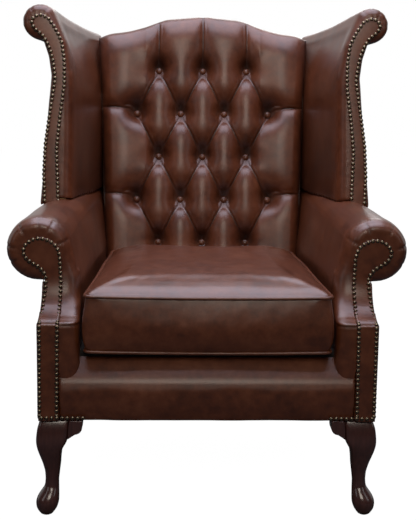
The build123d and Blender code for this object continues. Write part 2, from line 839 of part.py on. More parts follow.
def tuft_cells():
    """Outlines of the right-hand tufts, each between its buttons and the edges."""
    pitch = tuft_column_pitch
    half = pitch / 2
    row = [tuft_row_pitch * number for number in range(tuft_rows)]
    edge = [seam_x(height) for height in row]
    top = row[-1]
    skirt = -tuft_skirt
    yield ((0, row[0]), (half, row[1]), (0, row[2]), (-half, row[1]))
    yield ((0, row[2]), (half, row[3]), (0, row[4]), (-half, row[3]))
    for side in (-1, 1):
        near, mid, far, out = side * half, side * pitch, side * 1.5 * pitch, side * edge[1]
        out_high = side * edge[3]
        out_top = side * seam_x(up_face(pitch * 2))
        for low in (0, 2):
            yield ((mid, row[low]), (far, row[low + 1]), (mid, row[low + 2]), (near, row[low + 1]))
        yield ((near, row[1]), (mid, row[2]), (near, row[3]), (0, row[2]))
        yield ((mid, row[2]), (far, row[1]), (out, row[1]), (out_high, row[3]), (far, row[3]))
        crest = ((mid, up_face(mid)), (near, up_face(near)), (0, up_face(0)))
        yield ((near, row[3]), (mid, top), *crest, (0, top))
        yield (
            (far, row[3]),
            (out_high, row[3]),
            (out_top, up_face(out_top)),
            (far, up_face(far)),
            (mid, up_face(mid)),
            (mid, top),
        )
        yield ((near, row[1]), (0, row[0]), (0, skirt), (mid, skirt), (mid, row[0]))
        yield ((far, row[1]), (mid, row[0]), (mid, skirt), (side * seam_x(skirt), skirt), (out, row[1]))


def drawn_in(outline, share):
    """An outline shrunk about the middle of its corners."""
    count = len(outline)
    middle = (sum(x for x, _ in outline) / count, sum(y for _, y in outline) / count)
    return [(middle[0] + (x - middle[0]) * share, middle[1] + (y - middle[1]) * share) for x, y in outline]


button_places = []
for number in range(tuft_rows):
    height = tuft_row_pitch * number
    columns = (-1, 0, 1) if number % 2 == 0 else (-1.5, -0.5, 0.5, 1.5)
    button_places += [(tuft_column_pitch * column, height) for column in columns]

tufts = []
for outline in tuft_cells():
    levels = [(tuft_face.offset(tuft_height * rise), drawn_in(outline, share)) for share, rise in tuft_level_shares]
    tufts.append(skin(levels))

with BuildPart() as back_pad:
    with BuildSketch(raked.offset(back_skin)):
        with BuildLine():
            crest_line(0, post_inner, 0)
        make_face()
    extrude(amount=wing_front / 2)
    split(bisect_by=tuft_face, keep=Keep.BOTTOM)
    split(bisect_by=Plane.XY.offset(platform_top), keep=Keep.TOP)
    add(tufts)
    split(bisect_by=Plane.XY.offset(platform_top), keep=Keep.TOP)
    with BuildSketch(tuft_face):
        with Locations(*button_places):
            RegularPolygon(button_radius + button_pocket, turned_sides)
    extrude(amount=tuft_height, mode=Mode.SUBTRACT)
    for piece in (crest_rail, back_bay, back_webbing, wing_space, arm_space):
        add(piece.part, mode=Mode.SUBTRACT)
    for piece in (wing_space, arm_space):
        mirror(piece.part, about=Plane.YZ, mode=Mode.SUBTRACT)
keep("back_pad", back_pad)

# Covered buttons, drawn down into the tufting
with BuildPart() as back_buttons:
    with BuildSketch(tuft_face.offset(rest_gap)):
        with Locations(*button_places):
            RegularPolygon(button_radius, turned_sides)
    extrude(amount=button_height)
    face_axis = Axis(tuft_face.origin, tuft_face.z_dir)
    chamfer(back_buttons.faces().sort_by(face_axis)[-len(button_places) :].edges(), length=button_round)
keep("back_buttons", back_buttons)

# Front legs: cabriole, swelling at the knee, on a pad foot
leg_x = front_half - leg_setback
leg_y = leg_setback - front_reach
foot_x = leg_x - leg_block * leg_shares[-1][1]
foot_y = leg_y + leg_block * leg_shares[-1][1]


def leg_outline(inward, half, roundness):
    """Outline of the leg at one level, between a square and a circle."""
    points = []
    for step in range(leg_sides):
        turn = radians(360 * (step + 0.5) / leg_sides)
        across = copysign(abs(cos(turn)) ** roundness, cos(turn))
        along = copysign(abs(sin(turn)) ** roundness, sin(turn))
        points.append((leg_x - inward + half * across, leg_y + inward + half * along))
    return points


leg_sections = []
for level_share, inward_share, half_share, roundness in leg_shares:
    outline = leg_outline(leg_block * inward_share, leg_block * half_share, roundness)
    leg_sections.append((Plane.XY.offset(rail_bottom * level_share), outline))
sole = leg_outline(leg_block * leg_shares[-1][1], leg_block * foot_sole_share, leg_shares[-1][3])
leg_sections.append((Plane.XY.offset(glide_height), sole))
leg_solid = skin(leg_sections)
with BuildPart() as front_leg:
    add(leg_solid)

# Dowels in the joints of the rails, drilled into both pieces
with BuildPart() as frame_dowel_pairs:
    with BuildSketch(Plane.YZ.offset(front_inner - dowel_length / 2)):
        with Locations((rail_front_y + rail_thickness / 2, rail_bottom + dowel_rise)):
            with GridLocations(0, dowel_spread, 1, 2):
                RegularPolygon(dowel_radius, turned_sides)
    extrude(amount=dowel_length)
    rail_middle = post_front - rail_thickness / 2
    crest_middle = post_front - crest_rail_thickness / 2
    crest_low = crest_corner - crest_rail_height / 2
    for forward, up, spread in (
        (rail_middle, dowel_rise, dowel_spread),
        (rail_middle, tack_rail_rise, tack_rail_height / 2),
        (crest_middle, crest_low - crest_padding, crest_rail_height / 3),
    ):
        joint = (post_inner - dowel_length / 2, *on_rake(forward, up))
        with BuildSketch(Plane(origin=joint, x_dir=(0, 1, 0), z_dir=(1, 0, 0))):
            for side in (-1, 1):
                lean = radians(recline)
                with Locations((side * spread / 2 * sin(lean), side * spread / 2 * cos(lean))):
                    RegularPolygon(dowel_radius, turned_sides)
        extrude(amount=dowel_length)
with BuildPart() as frame_dowels:
    add(frame_dowel_pairs.part)
    mirror(frame_dowel_pairs.part, about=Plane.YZ)
keep("frame_dowels", frame_dowels)
drilled = (("front_seat_rail", front_seat_rail), ("back_seat_rail", back_seat_rail))
for name, rail in drilled + (("back_tack_rail", back_tack_rail), ("crest_rail", crest_rail)):
    with BuildPart() as rail_drilled:
        add(rail.part)
        add(frame_dowels.part, mode=Mode.SUBTRACT)
    keep(name, rail_drilled)
with BuildPart() as side_rail_drilled:
    add(side_rail.part)
    add(frame_dowels.part, mode=Mode.SUBTRACT)
keep_pair("seat_rail", side_rail_drilled)

# Hanger bolts, from each leg up into its corner block
rear_leg_x = post_outer - rear_leg_inset
rear_leg_y = on_rake(post_front / 2, 0)[0]
front_bolt = (leg_x - leg_block + bolt_inset, leg_y + leg_block - bolt_inset)
rear_bolt = (rear_leg_x - rear_leg_top / 2 + bolt_inset, rear_leg_y - rear_leg_top / 2 + bolt_inset)
with BuildPart() as leg_bolt_pair:
    with BuildSketch(Plane.XY.offset(rail_bottom - bolt_length / 2)):
        with Locations(front_bolt, rear_bolt):
            RegularPolygon(bolt_radius, turned_sides)
    extrude(amount=bolt_length)
with BuildPart() as leg_bolts:
    add(leg_bolt_pair.part)
    mirror(leg_bolt_pair.part, about=Plane.YZ)
keep("leg_bolts", leg_bolts)

# Rear legs, square, tapering and raked backwards in a slight curve
rear_sections = []
for level_share, rake_share, taper_share in rear_leg_shares:
    half = (rear_leg_top + (rear_leg_foot - rear_leg_top) * taper_share) / 2
    level = glide_height + (rail_bottom - glide_height) * level_share
    y = rear_leg_y + rear_leg_rake * rake_share
    corners = [(rear_leg_x + half * side, y + half * end) for side, end in ((-1, -1), (1, -1), (1, 1), (-1, 1))]
    rear_sections.append((Plane.XY.offset(level), corners))
rear_solid = skin(rear_sections)
with BuildPart() as rear_leg:
    add(rear_solid)
    add(leg_bolts.part, mode=Mode.SUBTRACT)
keep_pair("rear_leg", rear_leg)

# Knee brackets, glued beside the front legs under the front and side rails
bracket_x = leg_x - leg_block
with BuildPart() as knee_bracket:
    with BuildSketch(Plane.XZ.offset(-leg_y - bracket_setback)):
        tip_x = bracket_x - bracket_reach
        lobe = (tip_x + bracket_tip, rail_bottom - 2 * bracket_tip)
        heel = (bracket_x + bracket_heel, rail_bottom - bracket_drop)
        waist = ((lobe[0] + heel[0]) / 2 + bracket_bow, (lobe[1] + heel[1]) / 2 + bracket_bow)
        ear = arc_points((tip_x + bracket_tip, rail_bottom - bracket_tip), bracket_tip, 270, 180, corner_steps)
        inside = leg_x - leg_block / 2
        Polygon(*ear, (tip_x, rail_bottom), (inside, rail_bottom), (inside, heel[1]), heel, waist)
    extrude(amount=-bracket_thickness)
    diagonal = Plane(origin=(leg_x, leg_y, 0), x_dir=(0, 0, 1), z_dir=(1, 1, 0))
    mirror(about=diagonal)
    add(front_leg.part, mode=Mode.SUBTRACT)
keep_pair("knee_brackets", knee_bracket)

with BuildPart() as front_leg_drilled:
    add(front_leg.part)
    add(leg_bolts.part, mode=Mode.SUBTRACT)
keep_pair("front_leg", front_leg_drilled)
with BuildPart() as blocks_drilled:
    add(corner_blocks.part)
    add(leg_bolts.part, mode=Mode.SUBTRACT)
keep("corner_blocks", blocks_drilled)
with BuildPart() as post_drilled:
    add(back_post.part)
    add(leg_bolts.part, mode=Mode.SUBTRACT)
    add(frame_dowels.part, mode=Mode.SUBTRACT)
keep_pair("back_post", post_drilled)

# Glides nailed under the feet
with BuildPart() as glide_pair:
    with BuildSketch(Plane.XY):
        with Locations((foot_x, foot_y), (rear_leg_x, rear_leg_y + rear_leg_rake)):
            RegularPolygon(glide_radius, turned_sides)
    extrude(amount=glide_height)
with BuildPart() as foot_glides:
    add(glide_pair.part)
    mirror(glide_pair.part, about=Plane.YZ)
keep("foot_glides", foot_glides)

# Dust cover under the frame, cut round the legs
cover_front_y = rail_front_y + cover_inset
cover_rear_y = on_rake(post_front, 0)[0]
with BuildPart() as dust_cover:
    with BuildSketch(Plane.XY.offset(rail_bottom - cover_thickness)):
        front_x = side_line(cover_front_y) - side_skin - cover_inset
        rear_x = side_line(cover_rear_y) - side_skin - cover_inset
        Polygon(
            (-front_x, cover_front_y),
            (front_x, cover_front_y),
            (rear_x, cover_rear_y),
            (-rear_x, cover_rear_y),
        )
        for side in (-1, 1):
            with Locations((side * (leg_x - leg_block / 2), leg_y + leg_block / 2)):
                Rectangle(leg_block * leg_clear_share, leg_block * leg_clear_share, mode=Mode.SUBTRACT)
            with Locations((side * rear_leg_x, rear_leg_y)):
                Rectangle(rear_leg_top + cover_inset, rear_leg_top + cover_inset, mode=Mode.SUBTRACT)
    extrude(amount=cover_thickness)
    add(knee_bracket.part, mode=Mode.SUBTRACT)
    mirror(knee_bracket.part, about=Plane.YZ, mode=Mode.SUBTRACT)
keep("dust_cover", dust_cover)


# Loose cushion: boxed sides between two piped seams, crowned on top
def cushion_plan(grow):
    """Plan of the cushion, its sides drawn in between rounded corners."""
    front = cushion_front_y - grow
    rear = cushion_rear_y + grow
    front_x = cushion_front_half + grow
    rear_x = cushion_rear_half + grow
    rounding = cushion_corner
    ends = []
    for y, inward, half_x in ((front, 1, front_x), (rear, -1, rear_x)):
        middle_y = y + inward * cushion_side_draw
        quarter_y = y + inward * cushion_side_draw * side_draw_shares[0][1]
        ends.append([(0, middle_y), ((half_x - rounding) * side_draw_shares[1][0], quarter_y)])
    side = []
    for share, draw_share in side_draw_shares:
        x = front_x + (rear_x - front_x) * share - cushion_side_draw * draw_share
        side.append((x, front + (rear - front) * share))
    front_corner = arc_points((front_x - rounding, front + rounding), rounding, -90, 0, corner_steps)
    rear_corner = arc_points((rear_x - rounding, rear - rounding), rounding, 0, 90, corner_steps)
    half_plan = ends[0] + front_corner + side + rear_corner + ends[1][::-1]
    return half_plan + [(-x, y) for x, y in reversed(half_plan[1:-1])]


def piping_ring(seam, radius):
    """A closed welt round the cushion at the height of a seam."""
    walls = []
    for direction in (1, -1):
        levels = []
        for rise_share, out_share in welt_shares:
            plan = cushion_plan(direction * radius * out_share)
            levels.append((Plane.XY.offset(seam + radius * rise_share), plan))
        walls.append(skin(levels))
    with BuildPart() as ring:
        add(walls[0])
        add(walls[1], mode=Mode.SUBTRACT)
    return ring


low_seam = cushion_bottom + piping_radius + rest_gap
high_seam = low_seam + cushion_height
cushion_levels = [
    (cushion_bottom, -cushion_tuck),
    (low_seam, 0),
    ((low_seam + high_seam) / 2, cushion_boxing_swell),
]
for rise_share, draw_share in crown_shares:
    cushion_levels.append((high_seam + cushion_crown * rise_share, -cushion_rear_half * draw_share))
cushion_solid = skin([(Plane.XY.offset(level), cushion_plan(grow)) for level, grow in cushion_levels])
with BuildPart() as seat_cushion:
    add(cushion_solid)
    for seam in (low_seam, high_seam):
        add(piping_ring(seam, piping_radius + piping_clearance).part, mode=Mode.SUBTRACT)
keep("seat_cushion", seat_cushion)

with BuildPart() as cushion_piping:
    for seam in (low_seam, high_seam):
        add(piping_ring(seam, piping_radius).part)
keep("cushion_piping", cushion_piping)

os.makedirs("parts", exist_ok=True)
for name, part in nodes.items():
    export_step(part, "parts/" + name + ".step")
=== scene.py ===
import bpy
import bmesh
import numpy as np
from math import cos, pi, radians, sin, sqrt
from mathutils import Matrix, Vector, noise


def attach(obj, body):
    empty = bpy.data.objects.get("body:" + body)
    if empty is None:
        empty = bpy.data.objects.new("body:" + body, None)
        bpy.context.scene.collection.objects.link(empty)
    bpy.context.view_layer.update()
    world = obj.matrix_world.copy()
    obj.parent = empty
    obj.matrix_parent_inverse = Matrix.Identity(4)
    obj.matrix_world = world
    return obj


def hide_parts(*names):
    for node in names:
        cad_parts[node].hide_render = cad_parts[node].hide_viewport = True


# A high-backed wing chair in antique brown leather: a beech frame padded and
# close-covered, a deep-buttoned inside back, scroll arms faced with nailed bands,
# a loose piped cushion and cabriole front legs. Metres, +Z up, facing -Y.
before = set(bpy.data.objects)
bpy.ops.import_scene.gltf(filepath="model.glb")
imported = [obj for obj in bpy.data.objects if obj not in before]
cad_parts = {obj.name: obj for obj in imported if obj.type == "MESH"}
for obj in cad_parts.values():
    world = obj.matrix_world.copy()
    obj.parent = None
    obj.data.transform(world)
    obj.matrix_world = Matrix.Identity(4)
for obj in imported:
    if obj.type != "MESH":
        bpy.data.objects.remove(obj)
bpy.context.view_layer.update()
scene = bpy.context.scene
scene.view_settings.view_transform = "Standard"


# Studio: a pale floor under five soft rectangular lamps, one over the chair, one before
# it, one at each side and one behind, seen from where the photograph was taken.
def linear(hex_code, alpha=1.0):
    """An sRGB hex colour as linear numbers."""
    channels = [int(hex_code[i:i + 2], 16) / 255 for i in (1, 3, 5)]
    return [c / 12.92 if c <= 0.04045 else ((c + 0.055) / 1.055) ** 2.4 for c in channels] + [alpha]


def feed(tree, node, inputs):
    """Give a node's inputs their values or links."""
    for name, value in inputs.items():
        socket = node.inputs[name]
        if isinstance(value, bpy.types.NodeSocket):
            tree.links.new(value, socket)
        else:
            socket.default_value = value


def put(tree, kind, inputs=(), **settings):
    """Add a node with its settings, input values and links."""
    node = tree.nodes.new(kind)
    for name, value in settings.items():
        setattr(node, name, value)
    feed(tree, node, dict(inputs))
    return node


def new_material(name):
    """An empty material and its shader node."""
    material = bpy.data.materials.new(name)
    material.use_nodes = True
    tree = material.node_tree
    tree.nodes.clear()
    shader = put(tree, "ShaderNodeBsdfPrincipled")
    output = put(tree, "ShaderNodeOutputMaterial")
    tree.links.new(shader.outputs[0], output.inputs[0])
    return material, tree, shader


def link_object(name, mesh):
    """A new object of that mesh, in the scene."""
    piece = bpy.data.objects.new(name, mesh)
    scene.collection.objects.link(piece)
    return piece


# The photograph's height and its lens in pixels, then the camera's turn to the right,
# its tilt down and its roll to the left in degrees, and its place
PHOTO_HEIGHT = 520
FOCAL_PIXELS = 1225
CAMERA_TURNS = (1.9, 11.7, 0.77)
CAMERA_PLACE = (-0.0826, -2.8086, 1.0445)
camera = bpy.data.objects.new("camera", bpy.data.cameras.new("camera"))
scene.collection.objects.link(camera)
scene.camera = camera
camera.data.sensor_fit = "VERTICAL"
camera.data.sensor_height = 36.0
camera.data.lens = camera.data.sensor_height * FOCAL_PIXELS / PHOTO_HEIGHT
yaw, pitch, roll = [radians(degrees) for degrees in CAMERA_TURNS]
forward = Vector((sin(yaw) * cos(pitch), cos(yaw) * cos(pitch), -sin(pitch)))
side = Vector((cos(yaw), -sin(yaw), 0))
upward = side.cross(forward)
turned_side = side * cos(roll) + upward * sin(roll)
turned_up = upward * cos(roll) - side * sin(roll)
view = Matrix((turned_side, turned_up, -forward)).transposed().to_4x4()
view.translation = Vector(CAMERA_PLACE)
camera.matrix_world = view

# The camera sees white paper that takes a little shadow. All other rays meet a grey matt
# floor, which throws little light back up at the leather.
FLOOR_REACH = 6
PAPER_GLOW = 1.13
PAPER_SHARE = 0.88
floor_mesh = bpy.data.meshes.new("floor")
floor_corners = [(x * FLOOR_REACH, y * FLOOR_REACH, 0) for x, y in ((-1, -1), (1, -1), (1, 1), (-1, 1))]
floor_mesh.from_pydata(floor_corners, [], [(0, 1, 2, 3)])
floor = link_object("floor", floor_mesh)
floor_finish, tree, shader = new_material("matt pale studio floor")
rays = put(tree, "ShaderNodeLightPath")
shade = put(
    tree,
    "ShaderNodeMix",
    {0: rays.outputs["Is Camera Ray"], 6: linear("#48484a"), 7: linear("#f2f2f2")},
    data_type="RGBA",
)
feed(tree, shader, {"Base Color": shade.outputs[2], "Roughness": 0.95})
paper = put(tree, "ShaderNodeEmission", {"Color": (1, 1, 1, 1), "Strength": PAPER_GLOW})
seen = put(
    tree, "ShaderNodeMath", {0: rays.outputs["Is Camera Ray"], 1: PAPER_SHARE}, operation="MULTIPLY"
)
sheet = put(tree, "ShaderNodeMixShader", {0: seen.outputs[0], 1: shader.outputs[0], 2: paper.outputs[0]})
tree.links.new(sheet.outputs[0], tree.nodes["Material Output"].inputs[0])
floor_mesh.materials.append(floor_finish)

# The room: white to the camera, dim as light, and half white behind the chair, where the
# glaze mirrors it.
ROOM_LIGHT = 0.04
MIRRORED_WHITE = 0.5
world = bpy.data.worlds.new("studio")
scene.world = world
world.use_nodes = True
tree = world.node_tree
tree.nodes.clear()
rays = put(tree, "ShaderNodeLightPath")
way = put(tree, "ShaderNodeTexCoord")
part = put(tree, "ShaderNodeSeparateXYZ", {"Vector": way.outputs["Generated"]})
behind = put(tree, "ShaderNodeMapRange", {0: part.outputs["Y"], 1: 0.1, 2: 0.5})
mirrored = put(
    tree, "ShaderNodeMath", {0: rays.outputs["Is Glossy Ray"], 1: behind.outputs[0]}, operation="MULTIPLY"
)
clear = put(
    tree,
    "ShaderNodeMath",
    {0: rays.outputs["Is Camera Ray"], 1: rays.outputs["Is Transmission Ray"]},
    operation="MAXIMUM",
)
part_white = put(tree, "ShaderNodeMath", {0: mirrored.outputs[0], 1: MIRRORED_WHITE}, operation="MULTIPLY")
backdrop = put(tree, "ShaderNodeMath", {0: clear.outputs[0], 1: part_white.outputs[0]}, operation="MAXIMUM")
ambient = put(tree, "ShaderNodeBackground", {"Color": linear("#e6e8f4"), "Strength": ROOM_LIGHT})
white = put(tree, "ShaderNodeBackground", {"Color": (1, 1, 1, 1), "Strength": 1.0})
mixer = put(tree, "ShaderNodeMixShader", {0: backdrop.outputs[0], 1: ambient.outputs[0], 2: white.outputs[0]})
put(tree, "ShaderNodeOutputWorld", {"Surface": mixer.outputs[0]})


def lamp(name, place, target, width, height, watts, colour="#ffffff"):
    """A soft rectangular lamp aimed at a point."""
    data = bpy.data.lights.new(name, "AREA")
    data.shape = "RECTANGLE"
    data.size = width
    data.size_y = height
    data.energy = watts
    data.color = linear(colour)[:3]
    light = bpy.data.objects.new(name, data)
    scene.collection.objects.link(light)
    aim = Vector(target) - Vector(place)
    light.matrix_world = Matrix.Translation(place) @ aim.to_track_quat("-Z", "Y").to_matrix().to_4x4()


lamp("overhead softbox", (0.0, -0.05, 2.35), (0, -0.05, 0.5), 2.0, 1.9, 50, "#edecff")
lamp("front softbox", (0.0, -2.75, 1.95), (0, 0, 0.75), 1.25, 1.0, 20, "#fff4e6")
lamp("left softbox", (-2.0, -1.5, 1.5), (0, 0, 0.6), 0.6, 1.4, 3)
lamp("right softbox", (2.0, -1.5, 1.5), (0, 0, 0.6), 0.6, 1.4, 3)
lamp("rear softbox", (0.5, 2.6, 2.2), (0, 0, 0.6), 1.4, 1.0, 14)


# Inner frame: beech rails, posts, blocks and boards, glued and dowelled, with jute
# webbing tacked across the seat and the back. All of it is hidden by the covering.
STREAK_LENGTH = 14  # in streak widths


def spread(ramp, *colours):
    """Spread colours evenly along a ramp, from its low end to its high end."""
    elements = ramp.color_ramp.elements
    elements[0].color = linear(colours[0])
    elements[1].color = linear(colours[-1])
    for number, colour in enumerate(colours[1:-1], 1):
        elements.new(number / (len(colours) - 1)).color = linear(colour)


def streaked(name, pale, dye_and_shade, grain_mm, roughness, axis):
    """Sawn wood or woven cloth: rough, with streaks along one axis."""
    material, tree, shader = new_material(name)
    place = put(tree, "ShaderNodeTexCoord")
    scale = [1000 / grain_mm] * 3
    scale[axis] /= STREAK_LENGTH
    stretch = put(tree, "ShaderNodeMapping", {"Vector": place.outputs["Object"], "Scale": scale})
    streak = put(tree, "ShaderNodeTexNoise", {"Vector": stretch.outputs[0], "Scale": 1.0, "Detail": 4.0})
    blend = put(tree, "ShaderNodeValToRGB", {"Fac": streak.outputs["Fac"]})
    spread(blend, dye_and_shade, pale)
    rough = put(
        tree, "ShaderNodeBump", {"Height": streak.outputs["Fac"], "Distance": 0.0003, "Strength": 0.6}
    )
    feed(tree, shader, {"Base Color": blend.outputs[0], "Roughness": roughness, "Normal": rough.outputs[0]})
    return material


def dress(material, slot, *names):
    """Give carried-over frame nodes their finish."""
    for name in names:
        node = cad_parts[name]
        node.data.materials.clear()
        node.data.materials.append(material)


def both(*stems):
    """The left and right names of paired nodes."""
    return [stem + end for stem in stems for end in ("_left", "_right")]


beech = streaked("sawn beech", "#c9a274", "#9c7448", 5, 0.7, 1)
jute = streaked("woven jute webbing", "#a58a5e", "#7c6440", 2.5, 0.95, 0)
dress(beech, "frame_wood", *both("back_post", "seat_rail", "arm_stump", "arm_board", "arm_slat"))
dress(beech, "frame_wood", *both("wing_board"), "crest_rail", "back_tack_rail", "back_seat_rail")
dress(beech, "frame_wood", "front_seat_rail", "corner_blocks", "frame_dowels")
dress(jute, "webbing", "seat_webbing", "back_webbing")


# Leather covering: antique finished cowhide, drum dyed brown with a darker top coat
# that is rubbed off the high places and lies thick in the creases, then glazed. The
# darkening in creases and hollows is partly that top coat and partly painted shade. It
# is drawn over the padding and tacked under the frame.
# The last colour is the near black of dye and painted shade in creases, hollows and shaded faces
DYE_DARK, DYE, DYE_RUBBED, CREASE_DYE_AND_SHADE = "#49210e", "#5f2f17", "#6f3d24", "#0e0503"
HIDE_ROUGHNESS = 0.40
# How many to the metre: dye clouds of 91 mm, mottles of 18 mm, pebbles of 1.6 mm and fine
# creases of 14 mm
CLOUDS, MOTTLES, PEBBLES, FINE_CREASES = 11.0, 55.0, 620.0, 70.0


def leather(name):
    """Glazed hide: smooth pebble grain, soft clouds of dye, near black dye and painted shade in the creases
    and hollows.
    """
    material, tree, shader = new_material(name)
    place = put(tree, "ShaderNodeTexCoord").outputs["Object"]
    cloud, mottle, creasing = [
        put(tree, "ShaderNodeTexNoise", {"Vector": place, "Scale": fine, "Detail": depth, "Roughness": rough})
        for fine, depth, rough in ((CLOUDS, 4.0, 0.55), (MOTTLES, 4.0, 0.6), (FINE_CREASES, 5.0, 0.62))
    ]
    clouded = put(
        tree, "ShaderNodeMath", {0: cloud.outputs["Fac"], 1: mottle.outputs["Fac"]}, operation="ADD"
    )
    tone = put(tree, "ShaderNodeMapRange", {0: clouded.outputs[0], 1: 0.7, 2: 1.32})
    dye = put(tree, "ShaderNodeValToRGB", {"Fac": tone.outputs[0]})
    spread(dye, DYE_DARK, DYE, DYE_RUBBED)
    # Each point is darkened towards that near black as far as it is marked: dye in the folds, painted shade
    # in the hollows and on shaded faces
    dye_and_painted_shade = put(tree, "ShaderNodeAttribute", attribute_name="dye_and_painted_shade")
    darkened_by_dye_and_shade = put(
        tree,
        "ShaderNodeMix",
        {0: dye_and_painted_shade.outputs["Fac"], 6: dye.outputs[0], 7: linear(CREASE_DYE_AND_SHADE)},
        data_type="RGBA",
    )
    pebble = put(
        tree, "ShaderNodeTexVoronoi", {"Vector": place, "Scale": PEBBLES}, feature="DISTANCE_TO_EDGE"
    )
    pebbled = put(tree, "ShaderNodeMapRange", {0: pebble.outputs["Distance"], 1: 0.0, 2: 0.25})
    grain = put(tree, "ShaderNodeBump", {"Height": pebbled.outputs[0], "Distance": 0.0001, "Strength": 0.3})
    relief = put(
        tree,
        "ShaderNodeBump",
        {"Height": creasing.outputs["Fac"], "Distance": 0.0008, "Strength": 0.25, "Normal": grain.outputs[0]},
    )
    patches = {1: 0.3, 2: 0.75, 3: HIDE_ROUGHNESS - 0.03, 4: HIDE_ROUGHNESS + 0.08}
    glaze = put(tree, "ShaderNodeMapRange", {0: mottle.outputs["Fac"], **patches})
    feed(tree, shader, {"Base Color": darkened_by_dye_and_shade.outputs[2], "Normal": relief.outputs[0]})
    feed(tree, shader, {"Roughness": glaze.outputs[0], "IOR": 1.5, "Specular IOR Level": 0.22})
    feed(tree, shader, {"Coat Weight": 0.95, "Coat Roughness": 0.35})
    return material


hide = leather("antique finished cowhide")


def points_of(mesh, what="co"):
    """A mesh's points, or what else is asked of them, as an array of threes."""
    flat = np.empty(len(mesh.vertices) * 3)
    mesh.vertices.foreach_get(what, flat)
    return flat.reshape(-1, 3)


def skin_of(mesh):
    """A mesh's points and the way that its skin faces at each of them."""
    return points_of(mesh), points_of(mesh, "normal")


def move_points(mesh, points):
    """Write an array back as a mesh's points."""
    mesh.vertices.foreach_set("co", points.ravel())
    mesh.update()


def paint_dye_and_shade(mesh, values):
    """Store how far each point is darkened, by dye in the folds and by painted shade."""
    attribute = mesh.attributes.new("dye_and_painted_shade", "FLOAT", "POINT")
    attribute.data.foreach_set("value", np.clip(values, 0, 1).astype(np.float32))


def finished(piece, material, slot, body, fill, *nodes):
    """Give a piece its material, smooth shading and body, and hide the nodes that it stands for. Its slot and
    fill are not used.
    """
    piece.data.materials.clear()
    piece.data.materials.append(material)
    piece.data.polygons.foreach_set("use_smooth", [True] * len(piece.data.polygons))
    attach(piece, body)
    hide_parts(*nodes)
    return piece


def applied(piece):
    """Replace a piece's mesh by what its modifiers make of it."""
    graph = bpy.context.evaluated_depsgraph_get()
    mesh = bpy.data.meshes.new_from_object(piece.evaluated_get(graph))
    piece.modifiers.clear()
    old = piece.data
    piece.data = mesh
    bpy.data.meshes.remove(old)
    return piece


def even_skin(piece, step):
    """Add what turns a shape into an even net of points, a step apart."""
    remesh = piece.modifiers.new("even skin", "REMESH")
    remesh.mode = "VOXEL"
    remesh.voxel_size = step


def upholstered(name, node, step, rounds):
    """Leather over a pad: the pad's own shape, closed and with its edges eased."""
    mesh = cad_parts[node].data.copy()
    work = bmesh.new()
    work.from_mesh(mesh)
    bmesh.ops.remove_doubles(work, verts=work.verts, dist=1e-5)
    work.to_mesh(mesh)
    work.free()
    piece = link_object(name, mesh)
    even_skin(piece, step)
    ease = piece.modifiers.new("eased edges", "SMOOTH")
    ease.factor = 0.5
    ease.iterations = rounds
    return applied(piece)


def soothe(mesh, weights, rounds):
    """Smooth a mesh, each point as much as its weight from 0 to 1 says."""
    pairs = np.empty(len(mesh.edges) * 2, dtype=np.int32)
    mesh.edges.foreach_get("vertices", pairs)
    pairs = pairs.reshape(-1, 2)
    points = points_of(mesh)
    count = np.bincount(pairs.ravel(), minlength=len(points))[:, None]
    for _ in range(rounds):
        total = np.stack([
            np.bincount(pairs[:, 0], points[pairs[:, 1], axis], len(points))
            + np.bincount(pairs[:, 1], points[pairs[:, 0], axis], len(points))
            for axis in range(3)
        ], axis=1)
        points += weights[:, None] * 0.7 * (total / count - points)
    move_points(mesh, points)


def ripple(points, *waves):
    """Uneven swells of the padding at each point, from (size, height, seed) for each wave."""
    total = 0
    for size, height, seed in waves:
        shift = Vector((seed * 3.1, seed * 1.7, seed * 2.3))
        total = total + np.array([noise.noise(Vector(p) / size + shift) for p in points]) * height
    return total


def skin_mesh(name, points, faces):
    """A closed mesh whose faces all look outwards."""
    mesh = bpy.data.meshes.new(name)
    mesh.from_pydata(points, [], faces)
    work = bmesh.new()
    work.from_mesh(mesh)
    bmesh.ops.recalc_face_normals(work, faces=work.faces)
    work.to_mesh(mesh)
    work.free()
    return mesh


def ringed_mesh(name, rings):
    """A closed mesh through rings that have the same number of points, one over another."""
    rings = np.array(rings)
    count, around = rings.shape[:2]
    top = (count - 1) * around
    faces = []
    for low in range(0, top, around):
        high = low + around
        for step in range(around):
            after = (step + 1) % around
            faces.append((low + step, low + after, high + after, high + step))
    faces.append(tuple(reversed(range(around))))
    faces.append(tuple(range(top, top + around)))
    return skin_mesh(name, rings.reshape(-1, 3).tolist(), faces)


# Deep-buttoned inside back: hide drawn over hair into diamonds, each corner tied
# down by a covered button and each side folded into a pleat. The pleats of the top
# row run over the crest, those of the bottom row run down behind the cushion.
FACE_LEAN = radians(12)
BACK_LEAN = radians(8)
FACE_ORIGIN = np.array((0, 0.180, 0.470))
FACE_UP = np.array((0, sin(FACE_LEAN), cos(FACE_LEAN)))
FACE_OUT = np.array((0, -cos(FACE_LEAN), sin(FACE_LEAN)))
RAKE_ORIGIN = np.array((0, 0.3041, 0.208))
RAKE_UP = np.array((0, sin(BACK_LEAN), cos(BACK_LEAN)))
RAKE_OUT = np.array((0, -cos(BACK_LEAN), sin(BACK_LEAN)))
# The face's origin as a way up the rake, and the cosine of the turn between the two
FACE_START = 0.24212
FACE_TURN = 0.99756
ROW_PITCH = 0.106
COLUMN_PITCH = 0.108
BUTTON_ROWS = 5
# How high the hide puffs up, and its shares from being far from a fold and from a button
PUFF = 0.036
FOLD_SHARE, BUTTON_SHARE = 0.46, 0.58
